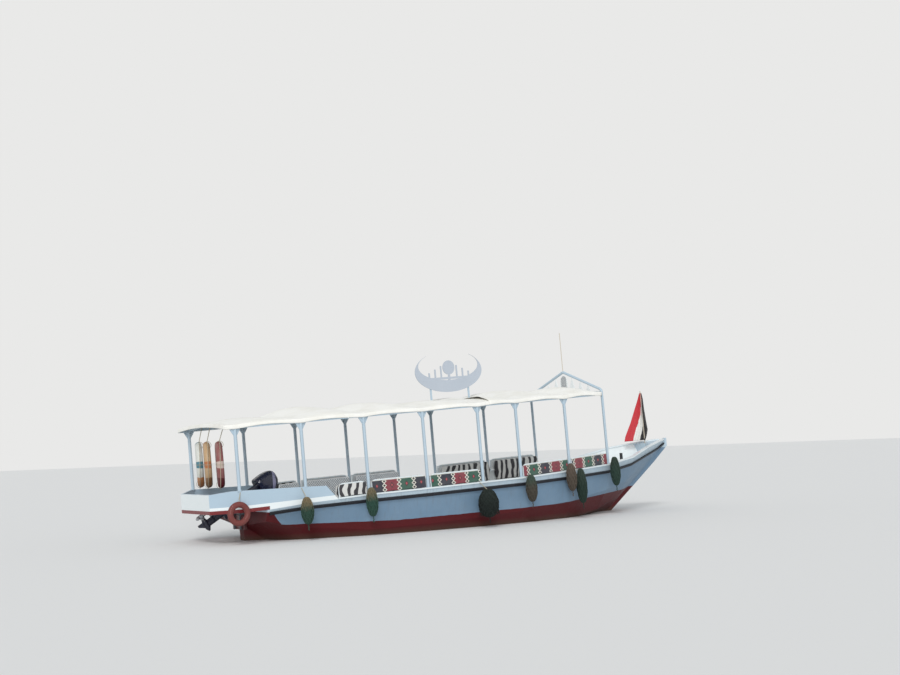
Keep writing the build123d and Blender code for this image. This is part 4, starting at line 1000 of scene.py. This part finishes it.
COWL_MIDDLE = -4.509
COWL_FOOT = 1.218
COWL_CORNER = .088
TILT = radians(62)
PIVOT = (-4.390, .720)
FOOT_TUCK = (.95, .92, 1)
COWL_ROWS = [(.012, -.168, .160, .127), (.058, -.172, .166, .132), (.062, -.166, .160, .127),
             (.072, -.166, .160, .127), (.076, -.172, .166, .132), (.150, -.174, .168, .133),
             (.220, -.170, .160, .128), (.275, -.160, .140, .118), (.318, -.142, .112, .101),
             (.348, -.114, .078, .078), (.366, -.078, .042, .050), (.376, -.036, .006, .022)]


def tilted(x, y, z):
    """A point of the upright motor turned with it about its tilt tube, then afloat."""
    dx, dz = x - PIVOT[0], z - PIVOT[1]
    return afloat(PIVOT[0] + dx * cos(TILT) + dz * sin(TILT), y, PIVOT[1] - dx * sin(TILT) + dz * cos(TILT))


def edit(obj, mode, rule):
    """Puts one object in edit mode with the edges or faces selected that the rule picks."""
    bpy.ops.object.mode_set(mode="OBJECT")
    bpy.ops.object.select_all(action="DESELECT")
    obj.select_set(True)
    bpy.context.view_layer.objects.active = obj
    bpy.ops.object.mode_set(mode="EDIT")
    bpy.ops.mesh.select_mode(type=mode)
    bpy.ops.mesh.select_all(action="DESELECT")
    bpy.ops.object.mode_set(mode="OBJECT")
    for part in obj.data.edges if mode == "EDGE" else obj.data.polygons:
        part.select = rule(part)
    bpy.ops.object.mode_set(mode="EDIT")


def cowl():
    """The moulded cover: a flared skirt, a parting groove and a domed crown that falls away forward."""
    height, aft, fore, half = COWL_ROWS[0]
    middle = COWL_MIDDLE + (aft + fore) / 2
    bpy.ops.mesh.primitive_cube_add(size=1, location=(middle, 0, COWL_FOOT + height / 2))
    obj = bpy.context.active_object
    obj.name = "cowl_cover"
    bpy.ops.transform.resize(value=(fore - aft, 2 * half, height))
    bpy.ops.object.transform_apply(location=True, rotation=True, scale=True)
    heights = [vert.co.z for vert in obj.data.vertices]
    edit(obj, "EDGE", lambda edge: abs(heights[edge.vertices[0]] - heights[edge.vertices[1]]) > .5 * height)
    bpy.ops.mesh.bevel(offset=COWL_CORNER, segments=10, affect="EDGES")
    edit(obj, "FACE", lambda face: face.normal.z > .9)
    for (_, aft, fore, half), (rise, new_aft, new_fore, new_half) in zip(COWL_ROWS, COWL_ROWS[1:]):
        shift = (new_aft + new_fore - aft - fore) / 2
        middle += shift
        bpy.ops.mesh.extrude_region_move(TRANSFORM_OT_translate={"value": (shift, 0, rise - height)})
        bpy.ops.transform.resize(value=((new_fore - new_aft) / (fore - aft), new_half / half, 1),
                                 center_override=(middle, 0, COWL_FOOT + rise))
        height = rise
    edit(obj, "FACE", lambda face: face.normal.z < -.9)
    bpy.ops.transform.resize(value=FOOT_TUCK, center_override=(COWL_MIDDLE, 0, COWL_FOOT))
    bpy.ops.mesh.select_all(action="SELECT")
    bpy.ops.mesh.normals_make_consistent(inside=False)
    bpy.ops.object.mode_set(mode="OBJECT")
    bpy.ops.object.shade_smooth_by_angle(angle=radians(40))
    for vert in obj.data.vertices:
        vert.co = tilted(*vert.co)
    obj.data.materials.append(cowl_plastic())
    return obj


cover = cowl()
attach(cover, "motor")
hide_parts("motor_cowl")
dress(brushed_enamel("sprayed_enamel_on_cast_aluminium", "12172A", "2B3040", size_mm=70, gloss=.3,
                     chips=.25), "motor_leg")
dress(brushed_enamel("sand_cast_aluminium", "5C6066", "43464C", size_mm=40, gloss=.4, chips=.2),
      "clamp_bracket", "swivel_bracket")
dress(brushed_enamel("ribbed_rubber_grip", "15161A", "2A2B30", size_mm=30, gloss=.7, chips=.1), "tiller")


def bare_cast():
    """Bare cast aluminium, dulled by the water, in blotches of brighter and duller metal."""
    mat, shader, where = start("polished_cast_aluminium", roughness=.35, metallic=1.0)
    metal = put(mat, "Mix", put(mat, "TexNoise", where, 1000 / 30), paint("B9BCC0"), paint("8B8F95"))
    join(mat, metal, shader.inputs["Base Color"])
    join(mat, uneven(mat, where, 12, .25, .3), shader.inputs["Roughness"])
    grain = put(mat, "TexNoise", where, 1000 / 6)
    join(mat, put(mat, "Bump", Height=grain, Distance=.3 / 1000, Strength=.4), shader.inputs["Normal"])
    return mat


dress(bare_cast(), "propeller")


# Studio: a plain pale floor at the waterline, open inside the hull so that the boat floats in it,
# a pale surround, the camera, and two wide soft lamps far off on the starboard quarter, one high
# and one low, so that floor and boat are lit evenly.
FLOOR_REACH = 160
FLOOR_INSET = .012
PAPER = "E6E6E4"
SURROUND = "E9E9E8"
SKY_TINT = (.93, .96, 1, 1)
SKY_STRENGTH = .60
LAMPS = {"key": ((-9, -11, 13), 1.15, 20), "fill": ((-8, -14, 3.4), .90, 22)}
LENS = 48
SENSOR = 36
CAMERA_PLACE = (-12.5582, -18.0590, 1.4150)
CAMERA_TURN = (95.0947, 2.1048, -34.2781)
CAMERA_SIGHT = 400


def lay_floor():
    """Paper from the hull's own waterline outwards, tucked a little under the planking."""
    bm = bmesh.new()
    bm.from_mesh(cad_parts["hull_shell"].data)
    bmesh.ops.remove_doubles(bm, verts=bm.verts, dist=1e-5)
    everything = bm.verts[:] + bm.edges[:] + bm.faces[:]
    cut = bmesh.ops.bisect_plane(bm, geom=everything, plane_co=(0, 0, 0), plane_no=(0, 0, 1))["geom_cut"]
    verts = [part for part in cut if isinstance(part, bmesh.types.BMVert)]
    outer = max(linked(verts, set(cut) - set(verts)), key=lambda group: max(p.y for p in group))
    bm.free()
    waterline = sorted(outer, key=lambda p: atan2(p.y, p.x))
    floor = sheet_mesh("floor", [[p * (1 - FLOOR_INSET / p.length), p.normalized() * FLOOR_REACH]
                                 for p in waterline + waterline[:1]])
    paper, shader, _ = start("matt_seamless_paper", roughness=.9, Specular_IOR_Level=.1)
    join(paper, paint(PAPER), shader.inputs["Base Color"])
    floor.data.materials.append(paper)


def hang_surround(scene):
    """A world that lights the boat dimly and shows the camera and shiny faces a pale surround."""
    world = bpy.data.worlds.new("surround")
    scene.world = world
    world.use_nodes = True
    world.node_tree.nodes.clear()
    rays = put(world, "LightPath").outputs
    seen = put(world, "Math:MAXIMUM", rays["Is Camera Ray"], rays["Is Glossy Ray"])
    dim = put(world, "Background", SKY_TINT, SKY_STRENGTH)
    pale = put(world, "Background", paint(SURROUND), 1.0)
    put(world, "OutputWorld", put(world, "MixShader", seen, dim, pale))


def set_lamps(scene):
    """The two wide soft lamps."""
    for name, (source, strength, spread) in LAMPS.items():
        lamp = bpy.data.lights.new(name, "SUN")
        lamp.energy = strength
        lamp.angle = radians(spread)
        obj = bpy.data.objects.new(name, lamp)
        scene.collection.objects.link(obj)
        obj.rotation_euler = (-Vector(source)).to_track_quat("-Z", "Y").to_euler()


def set_camera(scene):
    """The camera, at the place and turn fitted to the photo."""
    camera = bpy.data.cameras.new("camera")
    camera.lens = LENS
    camera.sensor_width = SENSOR
    camera.clip_end = CAMERA_SIGHT
    view = bpy.data.objects.new("camera", camera)
    scene.collection.objects.link(view)
    view.location = CAMERA_PLACE
    view.rotation_euler = [radians(turn) for turn in CAMERA_TURN]
    scene.camera = view


bpy.context.scene.view_settings.view_transform = "Standard"
lay_floor()
hang_surround(bpy.context.scene)
set_lamps(bpy.context.scene)
set_camera(bpy.context.scene)
